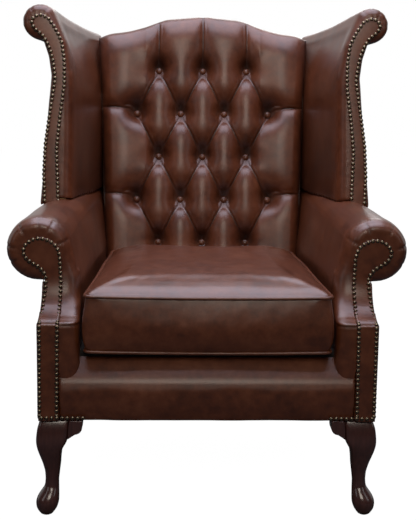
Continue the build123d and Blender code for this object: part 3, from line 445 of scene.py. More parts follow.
# How far a fold hollows the hide beside it, how soon it is full and how wide a pit is
FOLD_HOLLOW = 0.010
PUFF_BEND = 0.0165
BUTTON_PIT = 0.0255
LAP_RISE = 0.002
LAP_WIDTH = 0.006
LAP_EDGE = 0.0006
PLEAT_TOP, PLEAT_BOTTOM, PLEAT_SIDE = 0.62, -0.2, 0.3
# The outer puffs bend down on both sides of this place
SIDE_MIDDLE, SIDE_CURVE = 0.196, 4.2
CREST_EASE = 0.018
CORNER_FROM, CORNER_WIDTH, CORNER_DROP = 0.22, 0.04, 0.007
# Forward of the raked rear plane: the hide's rear edge and its wall inside the padding
REAR_EDGE, HIDDEN_WALL = 0.007, 0.0545
# Places out from the middle with the crest's height up the rake
CREST = ((0, 0.803), (0.096, 0.794), (0.138, 0.7765), (0.19, 0.763), (0.31, 0.750))

button_spots = []
for row in range(BUTTON_ROWS):
    columns = (-1, 0, 1) if row % 2 == 0 else (-1.5, -0.5, 0.5, 1.5)
    button_spots += [(COLUMN_PITCH * column, ROW_PITCH * row) for column in columns]

creases = []
for x, up in button_spots:
    for other_x, other_up in button_spots:
        one_row_up = abs(other_up - up - ROW_PITCH) < 0.001
        if one_row_up and abs(abs(other_x - x) - COLUMN_PITCH / 2) < 0.001:
            creases.append((x, up, other_x, other_up, "seam"))
    if up > ROW_PITCH * (BUTTON_ROWS - 1.5):
        creases.append((x, up, x, PLEAT_TOP, "pleat"))
    if up < ROW_PITCH / 2:
        creases.append((x, up, x, PLEAT_BOTTOM, "pleat"))
    if abs(x) > COLUMN_PITCH * 1.4:
        bend = (x + 0.02 * np.sign(x), up + 0.014)
        creases.append((x, up, *bend, "pleat"))
        creases.append((*bend, PLEAT_SIDE * np.sign(x), up + 0.017, "side"))


def crest_up(x):
    """Height of the crest line up the tufted face, eased across its humps."""
    across = np.array([abs(x + step) for step in np.linspace(-CREST_EASE, CREST_EASE, 9)])
    rise = np.interp(across, *zip(*CREST)).mean(axis=0)
    rise = rise - CORNER_DROP * np.clip((abs(x) - CORNER_FROM) / CORNER_WIDTH, 0, 1) ** 2
    return (rise - FACE_START) / FACE_TURN - 0.002


def hump(value, middle, width):
    """1 where a value is at the middle, falling away smoothly on both sides."""
    return np.exp(-(((value - middle) / width) ** 2))


def tuft_height(x, up):
    """Height of the leather over the button plane, and how far it is darkened: dye and painted shade along
    the folds, painted shade in the hollow above each button.
    """
    nearest, fold, line = 0, 0, 0
    for x1, up1, x2, up2, kind in creases:
        dx, du = x2 - x1, up2 - up1
        length = sqrt(dx * dx + du * du)
        along = np.clip(((x - x1) * dx + (up - up1) * du) / length**2, 0, 1)
        away_x, away_up = x - x1 - along * dx, up - up1 - along * du
        away = np.sqrt(away_x**2 + away_up**2)
        if kind == "seam":
            ends = np.sin(pi * along) ** 0.5
        else:
            ends = 1 - np.exp(-along * length / 0.02) * (kind == "pleat")
        nearest = nearest + np.exp(-away / FOLD_HOLLOW)
        # The fold laps over on one side: a thin raised strip, with a line of dye and painted shade at either
        # edge
        over = away_x * (1 if x1 <= 0 else -1) if dx == 0 else away * np.sign(away_up + 1e-9)
        over = np.clip(over, -0.03, 0.03)
        strip = ends / (1 + np.exp(-over / LAP_EDGE)) / (1 + np.exp((over - LAP_WIDTH) / LAP_EDGE))
        fold = np.maximum(fold, LAP_RISE * strip)
        line = np.maximum(line, hump(away, 0, 0.0015) * (0.4 + 0.6 * ends))
        line = np.maximum(line, 0.4 * ends * hump(over, LAP_WIDTH + 0.0002, 0.0014))
    to_fold = np.maximum(-FOLD_HOLLOW * np.log(nearest), 0)
    swell = (1 - np.exp(-to_fold / PUFF_BEND)) ** 0.85
    full, dye_and_shade = 1, line * 0.8
    for x1, up1 in button_spots:
        away = np.hypot(x - x1, (up - up1) * np.where(up > up1, 0.8, 1.12))
        full = full * (1 - np.exp(-((away / BUTTON_PIT) ** 1.6)))
        # A patch above each button is darkened: painted shade of the deep hollow there
        dye_and_shade = np.maximum(dye_and_shade, 0.85 * hump(x, x1, 0.017) * hump(up, up1 + 0.017, 0.024))
    at_side = np.clip((np.abs(x) - 0.14) / 0.04, 0, 1)
    height = PUFF * (FOLD_SHARE * swell + BUTTON_SHARE * full) + fold
    height = height - SIDE_CURVE * at_side * (np.abs(x) - SIDE_MIDDLE) ** 2
    return np.maximum(height, 0.0005), dye_and_shade


def back_cover():
    """One closed mesh of the tufted leather, from the platform over the crest."""
    across, front_rows = 256, 300
    side_share = 0.65 * np.linspace(-1, 1, across + 1)
    side_share = np.sin(np.linspace(-pi / 2, pi / 2, across + 1)) * 0.35 + side_share
    bottom = -0.1215
    rows, dye_and_shade_rows = [], []
    crest = np.array([crest_up(value) for value in side_share * 0.265])
    rise = np.linspace(0, 1, front_rows + 1)
    rise = rise + 0.06 * np.sin(pi * rise) * rise
    for share in rise:
        up = bottom + (crest - bottom) * share
        half = np.interp(up, (0, 0.40, 0.50, 0.56), (0.238, 0.2505, 0.257, 0.268))
        x = side_share * half
        height, dye_and_shade = tuft_height(x, up)
        edge = np.clip((half - np.abs(x)) / 0.024, 0, 1)
        top = np.clip((crest - up) / 0.062, 0, 1)
        height = height * np.sqrt(1 - (1 - edge) ** 2 * 0.9) * np.sqrt(np.maximum(1 - (1 - top) ** 2, 0))
        points = FACE_ORIGIN + np.outer(up, FACE_UP) + np.outer(height, FACE_OUT)
        points[:, 0] = x
        rows.append(points)
        # Darkened along the folds and above the buttons, and most along the sides where the back meets the
        # wings: dye and painted shade there
        dye_and_shade_rows.append(np.maximum(dye_and_shade * (0.35 + 0.65 * edge), 0.85 * (1 - edge) ** 3))

    # Over the crest, the pleats dying away, then down the back
    last = rows[-1]
    forward_last = (last - RAKE_ORIGIN) @ RAKE_OUT
    up_last = (last - RAKE_ORIGIN) @ RAKE_UP
    pleats = sum(hump(last[:, 0], x, 0.006) for x in (-COLUMN_PITCH, 0, COLUMN_PITCH))
    for share in np.linspace(0.08, 1, 14):
        reach = forward_last + (REAR_EDGE - forward_last) * share
        level = up_last - 0.004 * pleats * (1 - share) + 0.006 * sin(pi * share)
        points = RAKE_ORIGIN + np.outer(level, RAKE_UP) + np.outer(reach, RAKE_OUT)
        points[:, 0] = last[:, 0]
        rows.append(points)
        # The pleats are darkened with dye and painted shade, fading over the crest
        dye_and_shade_rows.append(pleats * 0.6 * (1 - share))
    lowered = up_last - 0.018
    hidden = [(HIDDEN_WALL, level) for level in (lowered, 0.45, 0.136)]
    for reach, level in ((REAR_EDGE, lowered), *hidden):
        points = RAKE_ORIGIN + np.outer(np.broadcast_to(level, up_last.shape), RAKE_UP) + reach * RAKE_OUT
        points[:, 0] = last[:, 0] if level is lowered else side_share * 0.25
        rows.append(points)
        dye_and_shade_rows.append(pleats * 0)

    # The rows run right round, and a fan closes each side
    grid = np.array(rows)
    count, width = grid.shape[:2]
    starts = [(j * width, (j + 1) % count * width) for j in range(count)]
    faces = []
    for row, after in starts:
        faces += [(row + i, row + i + 1, after + i + 1, after + i) for i in range(width - 1)]
    points = grid.reshape(-1, 3)
    for column in (0, width - 1):
        hub = len(points)
        points = np.vstack([points, grid[:, column].mean(axis=0)])
        faces += [(row + column, after + column, hub) for row, after in starts]
    mesh = skin_mesh("tufted back", points.tolist(), faces)
    paint_dye_and_shade(mesh, np.concatenate([np.array(dye_and_shade_rows).ravel(), [0, 0]]))
    return mesh


tufted_back = link_object("tufted_back", back_cover())
finished(tufted_back, hide, "leather", "chair", 0.8, "back_pad")


# Covered buttons: leather drawn over domed metal shells, tied through the padding
# by twine at each corner of the diamonds.
def head_shape(name, profile, steps):
    """A head turned from (radius, height) pairs, for Geometry Nodes to copy."""
    turns = [2 * pi * step / steps for step in range(steps)]
    rings = [
        [(radius * cos(turn), radius * sin(turn), height) for turn in turns] for radius, height in profile
    ]
    return bpy.data.objects.new(name, ringed_mesh(name, rings))


def new_group(name, *inputs):
    """A group of geometry nodes that takes a mesh and more inputs, with its two ends."""
    tree = bpy.data.node_groups.new(name, "GeometryNodeTree")
    for label, kind in (("Geometry", "Geometry"), *inputs, ("Finish", "Material")):
        tree.interface.new_socket(label, in_out="INPUT", socket_type="NodeSocket" + kind)
    tree.interface.new_socket("Geometry", in_out="OUTPUT", socket_type="NodeSocketGeometry")
    return tree, put(tree, "NodeGroupInput"), put(tree, "NodeGroupOutput")


def end_group(tree, shape, given, made):
    """Give a group's shape its smooth shading and its finish, as what the group makes."""
    solid = put(tree, "GeometryNodeRealizeInstances", {"Geometry": shape.outputs[0]})
    smooth = put(tree, "GeometryNodeSetShadeSmooth", {"Geometry": solid.outputs[0]})
    finish = put(
        tree, "GeometryNodeSetMaterial", {"Geometry": smooth.outputs[0], "Material": given.outputs["Finish"]}
    )
    tree.links.new(finish.outputs[0], made.inputs[0])


def made_by(group, name, mesh, **values):
    """What a group of geometry nodes makes of a mesh with these inputs."""
    piece = link_object(name, mesh)
    modifier = piece.modifiers.new(group.name, "NODES")
    modifier.node_group = group
    for socket in group.interface.items_tree:
        if socket.name in values:
            modifier[socket.identifier] = values[socket.name]
    return applied(piece)


def fixing_group():
    """Geometry nodes that set a head at even steps along a path, facing outwards."""
    tree, given, made = new_group(
        "heads set along a path", ("Head", "Object"), ("Pitch", "Float"), ("Along Path", "Bool")
    )
    outward = put(tree, "GeometryNodeInputNamedAttribute", {"Name": "outward"}, data_type="FLOAT_VECTOR")
    path = put(tree, "GeometryNodeMeshToCurve", {"Mesh": given.outputs["Geometry"]})
    stepped = put(
        tree,
        "GeometryNodeResampleCurve",
        {"Curve": path.outputs[0], "Length": given.outputs["Pitch"]},
        mode="LENGTH",
    )
    spots = put(tree, "GeometryNodeCurveToPoints", {"Curve": stepped.outputs[0]}, mode="EVALUATED")
    single = put(tree, "GeometryNodeMeshToPoints", {"Mesh": given.outputs["Geometry"], "Radius": 0.001})
    chosen = put(
        tree,
        "GeometryNodeSwitch",
        {"Switch": given.outputs["Along Path"], "False": single.outputs[0], "True": spots.outputs[0]},
        input_type="GEOMETRY",
    )
    turn = put(tree, "FunctionNodeAlignEulerToVector", {"Vector": outward.outputs["Attribute"]}, axis="Z")
    head = put(tree, "GeometryNodeObjectInfo", {"Object": given.outputs["Head"]})
    heads = put(
        tree,
        "GeometryNodeInstanceOnPoints",
        {"Points": chosen.outputs[0], "Instance": head.outputs["Geometry"], "Rotation": turn.outputs[0]},
    )
    end_group(tree, heads, given, made)
    return tree


fixings = fixing_group()


def set_heads(name, runs, head, pitch, material, along_path=True):
    """Heads at even steps along runs of (point, outward direction) pairs."""
    points, edges, outward = [], [], []
    for run in runs:
        start = len(points)
        points += [tuple(point) for point, _ in run]
        outward += [tuple(direction) for _, direction in run]
        edges += [(start + i, start + i + 1) for i in range(len(run) - 1)]
    mesh = bpy.data.meshes.new(name)
    mesh.from_pydata(points, edges if along_path else [], [])
    attribute = mesh.attributes.new("outward", "FLOAT_VECTOR", "POINT")
    attribute.data.foreach_set("vector", np.array(outward, dtype=np.float32).ravel())
    sockets = {"Head": head, "Pitch": pitch, "Finish": material, "Along Path": along_path}
    return made_by(fixings, name, mesh, **sockets)


BUTTON_RADIUS = 0.008
BUTTON_RIM = 0.0022
BUTTON_DOME = 0.005
button_profile = [(BUTTON_RADIUS * 0.8, 0.0004), (BUTTON_RADIUS, 0.0016)]
for turn in np.linspace(0.1, 1.45, 8):
    button_profile.append((BUTTON_RADIUS * cos(turn), BUTTON_RIM + BUTTON_DOME * sin(turn)))
button_head = head_shape("button_shell", button_profile, 28)
button_run = [(FACE_ORIGIN + np.array((x, 0, 0)) + up * FACE_UP, FACE_OUT) for x, up in button_spots]
buttons = set_heads("covered_buttons", [button_run], button_head, 1.0, hide, along_path=False)
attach(buttons, "chair")
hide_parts("back_buttons")


# Wings: a padded board each side, its hide drawn over the top edge in an outward
# roll, with gathers where the roll turns on to the front.
SIDES = (("left", 1), ("right", -1))
WING_STEP = 0.0036
WING_FRONT = 0.431
# At the wing's rear and front: how far out its roll is, how high, and of what radius.
# Then heights with how far out each wall is.
WING_ROLL = ((0.276, 0.377), (0.727, 0.749), (0.027, 0.041))
WING_INNER = ((0.285, 0.222, 0.305), (0.629, 0.226, 0.302))
WING_OUTER = ((0.285, 0.302, 0.377), (0.345, 0.302, 0.377), (0.629, 0.300, 0.351))
WALL_EASE = 0.034
GATHERS = (128, 96, 61, 30, -4)
GATHER_WIDTH = 4.5
GATHER_DEPTH = 0.0014
POST_HALF = 0.297
REAR_PUSH = 0.0055
REAR_RISE = 0.019


def past(value, edge, width):
    """How far a value is past an edge: 0 at it and 1 a width beyond, eased between."""
    share = np.clip((value - edge) / width, 0, 1)
    return share * share * (3 - 2 * share)


def short_of(value, edge, width):
    """How far a value is short of an edge: 0 at it and 1 a width before, eased between."""
    return past(-value, -edge, width)


def wing_wall(share, level, inner):
    """Half width of the wing's inner or outer wall, its bends drawn smooth."""
    centre, middle, radius = [rear + (front - rear) * share for rear, front in WING_ROLL]
    levels, widths = [], []
    for up, rear, front in WING_INNER if inner else WING_OUTER:
        levels.append(up + 0 * share)
        widths.append(rear + (front - rear) * share)
    for degrees in (135, 122, 109, 96) if inner else (-135, -120, -105):
        levels.append(middle + radius * sin(radians(degrees)))
        widths.append(centre + radius * cos(radians(degrees)))
    levels, widths = np.array(levels), np.array(widths)
    steps = np.linspace(-WALL_EASE, WALL_EASE, 9)
    total = 0
    for step in steps:
        value = widths[0]
        for low, high, near, far in zip(levels, levels[1:], widths, widths[1:]):
            rise = np.where(np.abs(high - low) < 1e-6, 1, high - low)
            value = value + (far - near) * np.clip((level + step - low) / rise, 0, 1)
        total = total + value
    return total / len(steps)


def wing_cover(side_name, sign):
    """One wing's leather, with soft hollows and the gathers on its front roll."""
    piece = upholstered("wing_" + side_name, "wing_pad_" + side_name, WING_STEP, 6)
    points, normals = skin_of(piece.data)
    reach = (points - RAKE_ORIGIN) @ RAKE_OUT
    level = (points - RAKE_ORIGIN) @ RAKE_UP
    share = np.clip(reach / WING_FRONT, 0, 1)
    behind_front = short_of(reach, 0.41, 0.05)

    # Both walls drawn smooth up to the roll, then the outer one out over the back post
    for inner in (True, False):
        facing = normals[:, 0] * sign * (-1 if inner else 1)
        top = 0.735 + 0.02 * share if inner else 0.675 + 0.01 * share
        weight = past(facing, 0.35, 0.3) * behind_front * short_of(level, top, 0.02)
        shift = wing_wall(share, level, inner) * sign - points[:, 0]
        points[:, 0] += weight * shift * short_of(np.abs(shift), 0.016, 0.006)
    over_post = short_of(reach, 0.14, 0.03) * (normals[:, 0] * sign > 0) * (level < 0.75)
    points[:, 0] += over_post * np.maximum(POST_HALF - points[:, 0] * sign, 0) * sign
    move_points(piece.data, points)
    outer = past(points[:, 0] * sign, 0.285, 0.01) * past(level, 0.56, 0.04) * short_of(level, 0.74, 0.03)
    soothe(piece.data, outer * behind_front, 30)

    # The rear end meets the outside back, and the rear of the roll rises to the crest
    points, normals = skin_of(piece.data)
    rear_end = short_of(reach, 0.022, 0.012) * (np.abs(points[:, 0]) > 0.262)
    points -= np.outer(REAR_PUSH * rear_end, RAKE_OUT)
    raised = REAR_RISE * np.clip(1 - reach / 0.32, 0, 1) ** 2 * past(level, 0.64, 0.08)
    points += np.outer(raised, RAKE_UP)

    # Gathers, where the roll turns on to the front
    out, height = WING_ROLL[0][1], WING_ROLL[1][1]
    turn = np.degrees(np.arctan2(level - height, np.abs(points[:, 0]) - out))
    near_front = np.clip((reach - WING_FRONT + 0.03) / 0.03, 0, 1)
    on_roll = np.clip((level - 0.73) / 0.02, 0, 1)
    gathers = sum(hump(turn, at, GATHER_WIDTH) for at in GATHERS)
    soft = ripple(points, (0.13, 0.0014, 1.0), (0.045, 0.0004, 4.0))
    dip = GATHER_DEPTH * gathers * near_front * on_roll
    move_points(piece.data, points + normals * (soft - dip)[:, None])
    # The gathers are darkened with dye and painted shade, and the inner face of the wing with painted shade,
    # most low down
    shaded_inside = short_of(normals[:, 0] * sign, 0.3, 0.6) * behind_front * short_of(level, 0.66, 0.3)
    paint_dye_and_shade(piece.data, np.maximum(gathers * near_front * on_roll * 0.4, 0.5 * shaded_inside))
    return finished(piece, hide, "leather", "chair", 0.7, "wing_pad_" + side_name)


for side_name, sign in SIDES:
    wing_cover(side_name, sign)


# Arms: hair and hide over the arm board, rolled outwards in a scroll, gathered in
# pleats round its front and swept down and forward to the seat.
ARM_STEP = 0.0031
# The scroll's centre, out and up, the radius past which its front is pleated, and the
# height of the kink where the upright front turns into the sweep over it
ARM_HUB = (0.352, 0.547)
PLEATED_FROM = 0.041
KINK = 0.413
PLEAT_WIDTH = 0.003
PLEAT_DEPTH = 0.0019
BULGE_RISE, FOLD_LIP, TUCK_DEPTH = 0.0025, 0.0018, 0.002
INNER_DROP = 0.032
# Degrees round the scroll and the share of the full depth, for each arm's pleats
PLEATS = {
    "left": ((156, 0.7), (112, 1), (58, 0.8), (12, 1), (-26, 0.6), (-62, 0.8)),
    "right": ((161, 0.9), (119, 0.7), (92, 0.5), (53, 1), (7, 0.7), (-24, 0.9), (-58, 0.7)),
}
# The arm board inside: heights of its middle and underside, half its thickness with a
# little over, its outer edge 0.3 m before the middle and how that comes in to the rear
BOARD_MIDDLE, BOARD_UNDER, BOARD_HALF = 0.534, 0.5185, 0.018
BOARD_EDGE, BOARD_TAPER = 0.3675, 0.0728


def arm_cover(side_name, sign):
    """One arm's leather: sharp pleats round the scroll, a tuck at the kink below."""
    piece = upholstered("arm_" + side_name, "arm_pad_" + side_name, ARM_STEP, 8)

    # The ledge inside the sweep, smoothed
    points = points_of(piece.data)
    x, y, z = np.abs(points[:, 0]), points[:, 1], points[:, 2]
    shelf = short_of(x, 0.309, 0.006) * short_of(y, -0.295, 0.02) * past(z, 0.435, 0.03)
    soothe(piece.data, shelf * short_of(z, 0.56, 0.03), 90)

    # Pleats round the scroll's front, then a lip of hide over a tuck at the kink
    points, normals = skin_of(piece.data)
    x, y, z = np.abs(points[:, 0]), points[:, 1], points[:, 2]
    turn = np.arctan2(z - ARM_HUB[1], x - ARM_HUB[0])
    away = np.hypot(z - ARM_HUB[1], x - ARM_HUB[0])
    over = short_of(y, -0.285, 0.03) * past(away, PLEATED_FROM, 0.006) * past(z, 0.49, 0.01)
    lines = 0
    for degrees, depth in PLEATS[side_name]:
        gap = (turn - radians(degrees) + pi) % (2 * pi) - pi
        lines = lines + depth * hump(gap * away, 0, PLEAT_WIDTH)
    bulge = hump(away, 0.053, 0.009) * short_of(y, -0.312, 0.01) * past(z, 0.495, 0.05)
    front = short_of(y, -0.37, 0.015) * short_of(x, 0.306, 0.004)
    lip = front * hump(z, KINK + 0.004, 0.0045)
    tuck = front * hump(z, KINK - 0.004, 0.0025)
    soft = ripple(points, (0.13, 0.0016, 2.0), (0.04, 0.0004, 5.0))
    offset = soft - PLEAT_DEPTH * lines * over + BULGE_RISE * bulge
    offset = offset + FOLD_LIP * lip - TUCK_DEPTH * tuck
    points = points + normals * offset[:, None]

    # Round the edge of the arm board and under it, and down beside the front border
    board_edge = BOARD_EDGE - (y + 0.3) * BOARD_TAPER
    over_board = past(y, 0, 0.06) * (np.abs(z - BOARD_MIDDLE) < BOARD_HALF) * (normals[:, 0] * sign > -0.3)
    points[:, 0] += over_board * np.maximum(board_edge - np.abs(points[:, 0]), 0) * sign * (x > 0.29)
    under_board = past(y, 0.02, 0.06) * (normals[:, 2] < 0) * (z > 0.5) * (z < 0.556) * (x > 0.283)
    under_board = under_board * (np.abs(points[:, 0]) < board_edge + 0.001)
    points[:, 2] -= under_board * np.maximum(points[:, 2] - BOARD_UNDER, 0)
    low = short_of(z, 0.40, 0.05) * short_of(x, 0.3035, 0.002) * short_of(y, -0.36, 0.01)
    points[:, 2] -= INNER_DROP * low
    move_points(piece.data, points)
    # The pleats and the tuck are darkened with dye and painted shade, and the inner face low down with
    # painted shade
    shaded_inside = short_of(normals[:, 0] * sign, 0.2, 0.5) * short_of(normals[:, 1], 0.9, 0.5)
    in_shade = 0.22 * shaded_inside * short_of(z, 0.55, 0.1) * past(y, -0.37, 0.05)
    paint_dye_and_shade(piece.data, np.clip(lines, 0, 1) * over * 0.4 + tuck * 0.4 + in_shade)
    return finished(piece, hide, "leather", "chair", 0.75, "arm_pad_" + side_name)


for side_name, sign in SIDES:
    arm_cover(side_name, sign)


# Facings: narrow bands of hide over card, close nailed along both edges. The arm's
# band sweeps up to a round head on the scroll; the wing's runs up into its roll.
SCROLL_Y = -0.330
BASE_Y = -0.410
SWEEP_TOP = 0.500
SWEEP_RADIUS = (0.080**2 + 0.087**2) / (2 * 0.080)
PAST_NAILS = 0.0026
NAIL_LIFT = 0.0012
LIP_RISE = 0.0012
# Heights, with how far out the two rows of nails run
arm_inner = (
    (0.208, 0.309), (0.413, 0.306), (0.475, 0.304), (0.534, 0.306), (0.548, 0.3085), (0.560, 0.3155),
    (0.569, 0.327), (0.5735, 0.343),
)
arm_outer = (
    (0.208, 0.344), (0.413, 0.342), (0.475, 0.335), (0.489, 0.334), (0.499, 0.337), (0.508, 0.343),
    (0.515, 0.350), (0.5215, 0.361), (0.528, 0.371), (0.5365, 0.3785), (0.5475, 0.381), (0.558, 0.3775),
    (0.567, 0.368), (0.572, 0.358), (0.5735, 0.349),
)
wing_inner = (
    (0.600, 0.331), (0.672, 0.333), (0.723, 0.335), (0.790, 0.3285), (0.836, 0.322), (0.866, 0.318),
    (0.893, 0.3175), (0.924, 0.318), (0.944, 0.3206), (0.962, 0.3235), (0.981, 0.332), (0.9975, 0.3415),
    (1.013, 0.353), (1.0205, 0.366),
)
wing_outer = (
    (0.600, 0.361), (0.672, 0.363), (0.737, 0.3595), (0.787, 0.3523), (0.8435, 0.3436), (0.873, 0.339),
    (0.885, 0.338), (0.904, 0.340), (0.922, 0.343), (0.942, 0.348), (0.960, 0.3556), (0.978, 0.3665),
    (0.988, 0.380), (0.998, 0.3885), (1.008, 0.3905), (1.016, 0.385), (1.0205, 0.376),
)


def sweep_y(level):
    """Depth of the arm's front at a height, and which way it faces."""
    if level <= KINK:
        return BASE_Y, (0, -1, 0)
    if level >= SWEEP_TOP:
        return SCROLL_Y, (0, -1, 0)
    lift = (SWEEP_TOP - level) / SWEEP_RADIUS
    flat = sqrt(max(1 - lift * lift, 0))
    return SCROLL_Y - SWEEP_RADIUS + SWEEP_RADIUS * flat, (0, -flat, -lift)


def widened(inner, outer, by):
    """The two edges of a band, moved outwards from the lines that its nails follow."""
    path = np.array([(x, level) for level, x in inner] + [(x, level) for level, x in reversed(outer)])
    along = np.gradient(path, axis=0)
    away = np.stack([-along[:, 1], along[:, 0]], axis=1) / np.linalg.norm(along, axis=1)[:, None]
    path = path + away * by
    near, far = path[:len(inner)], path[len(inner):][::-1]
    edges = []
    for line in (near, far):
        levels = np.maximum.accumulate(line[:, 1] + np.arange(len(line)) * 1e-7)
        edges.append(tuple(zip(levels, line[:, 0])))
    return edges


def band(name, sign, inner, outer, levels, place, thickness, crown):
    """A padded band that stands out past its two rows of nails, on its front surface."""
    inner, outer = widened(inner, outer, PAST_NAILS)
    rows = []
    for level in levels:
        low = np.interp(level, *zip(*inner))
        high = np.interp(level, *zip(*outer))
        front, back = [], []
        for share in np.linspace(-1, 1, 11):
            x = (low + high) / 2 + share * (high - low) / 2
            spot, facing = place(x, level)
            rise = crown * sqrt(max(1 - share * share, 0)) ** 0.8
            rise += LIP_RISE * float(hump(level, KINK + 0.004, 0.004))
            front.append(np.array(spot) + np.array(facing) * rise)
            back.append(np.array(spot) - np.array(facing) * thickness)
        rows.append(front + back[::-1])
    rings = np.array(rows) * (sign, 1, 1)
    return link_object(name, ringed_mesh(name, rings))


def arm_place(x, level):
    """A point of the arm's band and its outward direction."""
    y, facing = sweep_y(level)
    return (x, y, level), facing


def wing_place(x, level):
    """A point of the wing's band, on the raked plane at the wing's front."""
    up = (level - RAKE_ORIGIN[2] - WING_FRONT * sin(BACK_LEAN)) / cos(BACK_LEAN)
    spot = RAKE_ORIGIN + up * RAKE_UP + WING_FRONT * RAKE_OUT
    return (x, spot[1], spot[2]), RAKE_OUT


def band_levels(bottom, bend, top, below, above):
    """Heights of a band's rings, closer together over the bend of its head."""
    head = top - (top - bend) * np.cos(np.linspace(0, pi / 2, above))
    return np.concatenate([np.linspace(bottom, bend, below), head[1:]])


arm_levels = band_levels(0.2085, 0.53, 0.576, 110, 20)
wing_levels = band_levels(0.603, 0.985, 1.023, 70, 18)

# Nails: stamped brass, blackened and buffed, with bright crowns and dark rims
TARNISH = 260.0  # spots to the metre, about 4 mm each
antique_brass, tree, shader = new_material("antiqued brass nail heads")
place = put(tree, "ShaderNodeTexCoord").outputs["Object"]
tarnish = put(tree, "ShaderNodeTexNoise", {"Vector": place, "Scale": TARNISH, "Detail": 3.0})
metal = put(tree, "ShaderNodeValToRGB", {"Fac": tarnish.outputs["Fac"]})
spread(metal, "#3b3125", "#a3957d")
feed(tree, shader, {"Base Color": metal.outputs[0], "Metallic": 1.0, "Roughness": 0.2})

NAIL_RADIUS = 0.0044
NAIL_RISE = 0.003
nail_profile = [(NAIL_RADIUS * 0.9, -0.001), (NAIL_RADIUS, 0.0)]
nail_profile += [(NAIL_RADIUS * cos(t), NAIL_RISE * sin(t)) for t in np.linspace(0.3, 1.4, 4)]
nail_head = head_shape("nail_head", nail_profile, 12)
NAIL_PITCH = 0.0098
FOOT_ROW_Z = 0.2155
FOOT_ROW_X = (0.340, 0.316, 0.296, 0.255)


def nail_run(edge, place, sign):
    """Points along an edge of a band, with the way that each nail faces."""
    run = []
    for level, x in edge:
        spot, facing = place(x, level)
        lifted = [spot[axis] + facing[axis] * NAIL_LIFT for axis in (1, 2)]
        run.append(((spot[0] * sign, *lifted), facing))
    return run


def filled_in(edge, low):
    """An edge table from a height up, its points close enough to follow the sweep."""
    levels = sorted(set([level for level, _ in edge] + list(np.arange(edge[0][0], edge[-1][0], 0.006))))
    return [(level, float(np.interp(level, *zip(*edge)))) for level in levels if level >= low]


# For each band: its edges, rings, place, thickness, crown and where its nails begin
BANDS = {
    "arm": (arm_inner, arm_outer, arm_levels, arm_place, 0.004, 0.0016, 0.218),
    "wing": (wing_inner, wing_outer, wing_levels, wing_place, 0.003, 0.0014, 0.612),
}
for side_name, sign in SIDES:
    runs = []
    for kind, (inner, outer, levels, place, thickness, crown, low) in BANDS.items():
        strip = band(f"{kind}_band_{side_name}", sign, inner, outer, levels, place, thickness, crown)
        finished(strip, hide, "facing_leather", "chair", None, f"{kind}_facing_{side_name}")
        runs.append(nail_run(filled_in(inner, low) + filled_in(outer, low)[::-1], place, sign))
    runs.append([((sign * x, BASE_Y - 0.0035, FOOT_ROW_Z), (0, -1, 0)) for x in FOOT_ROW_X])
    nails = set_heads("nails_" + side_name, runs, nail_head, NAIL_PITCH, antique_brass)
    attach(nails, "chair")


# Front border: hide drawn over a padded roll on the front rail, under the cushion. It is
# tacked under the platform's edge above and under the rail below.
BORDER_STEP = 0.004
# Heights, with how far forward the roll may swell as it slopes back under the cushion
BORDER_FRONT = (
    (0.270, -0.415), (0.280, -0.4125), (0.290, -0.4095), (0.297, -0.4060), (0.304, -0.4010),
    (0.312, -0.3940), (0.322, -0.3850), (0.332, -0.3755), (0.340, -0.3670), (0.350, -0.355),
)
border = upholstered("front_border_cover", "front_border", BORDER_STEP, 5)
points, normals = skin_of(border.data)
points = points + normals * ripple(points, (0.09, 0.0014, 3.0), (0.03, 0.0003, 6.0))[:, None]
points[:, 1] = np.maximum(points[:, 1], np.interp(points[:, 2], *zip(*BORDER_FRONT)))
move_points(border.data, points)
paint_dye_and_shade(border.data, points[:, 0] * 0)
finished(border, hide, "leather", "chair", 0.7, "front_border")

# Outside panels: single skins of hide over hessian on each side and on the back, drawn
# flat and blind stitched. The side ones reach up under the roll of the arm.
TUCKED_UP = 0.007
for node in both("outside_arm") + ["outside_back"]:
    panel = upholstered(node + "_cover", node, 0.0035, 2)
    points, normals = skin_of(panel.data)
    points += normals * ripple(points, (0.16, 0.0012, 7.0))[:, None]
    if node.startswith("outside_arm"):
        points[:, 2] += TUCKED_UP * past(points[:, 2], 0.46, 0.06)
    move_points(panel.data, points)
    paint_dye_and_shade(panel.data, points[:, 0] * 0)
    finished(panel, hide, "leather", "chair", None, node)

# Seat platform: padding on the webbing, covered with black-brown lining cloth that the
# cushion hides.
lining = streaked("platform lining cloth", "#2b2320", "#1a1412", 1.2, 0.9, 0)
platform = upholstered("seat_platform_cover", "seat_platform", 0.005, 3)
finished(platform, lining, "platform_cloth", "chair", 0.6, "seat_platform")


# Loose seat cushion: boxed hide over a full pad, its sides drawn in between the
# corners, with a piped seam round the top and the bottom.
CUSHION_FRONT, CUSHION_REAR = -0.404, 0.127
CUSHION_FRONT_HALF, CUSHION_REAR_HALF = 0.252, 0.219
CUSHION_DRAW = 0.005
CUSHION_CORNER = 0.014
CUSHION_BASE, LOW_SEAM, HIGH_SEAM = 0.3506, 0.3541, 0.4721
BOXING_SWELL = 0.008
SWELL_CAP = 0.0025
SETTLE_ALL, SETTLE_REAR = 0.003, 0.013
FRONT_DIP, FRONT_DRAW = 0.004, 0.006
CUSHION_STEP = 0.0048
# Heights over the top seam, with how far in the crown's outline has come
CROWN = (
    (0, 0.001), (0.005, 0.004), (0.010, 0.010), (0.0155, 0.020), (0.0195, 0.030), (0.0235, 0.050),
    (0.0265, 0.080), (0.029, 0.13), (0.030, 0.19),
)


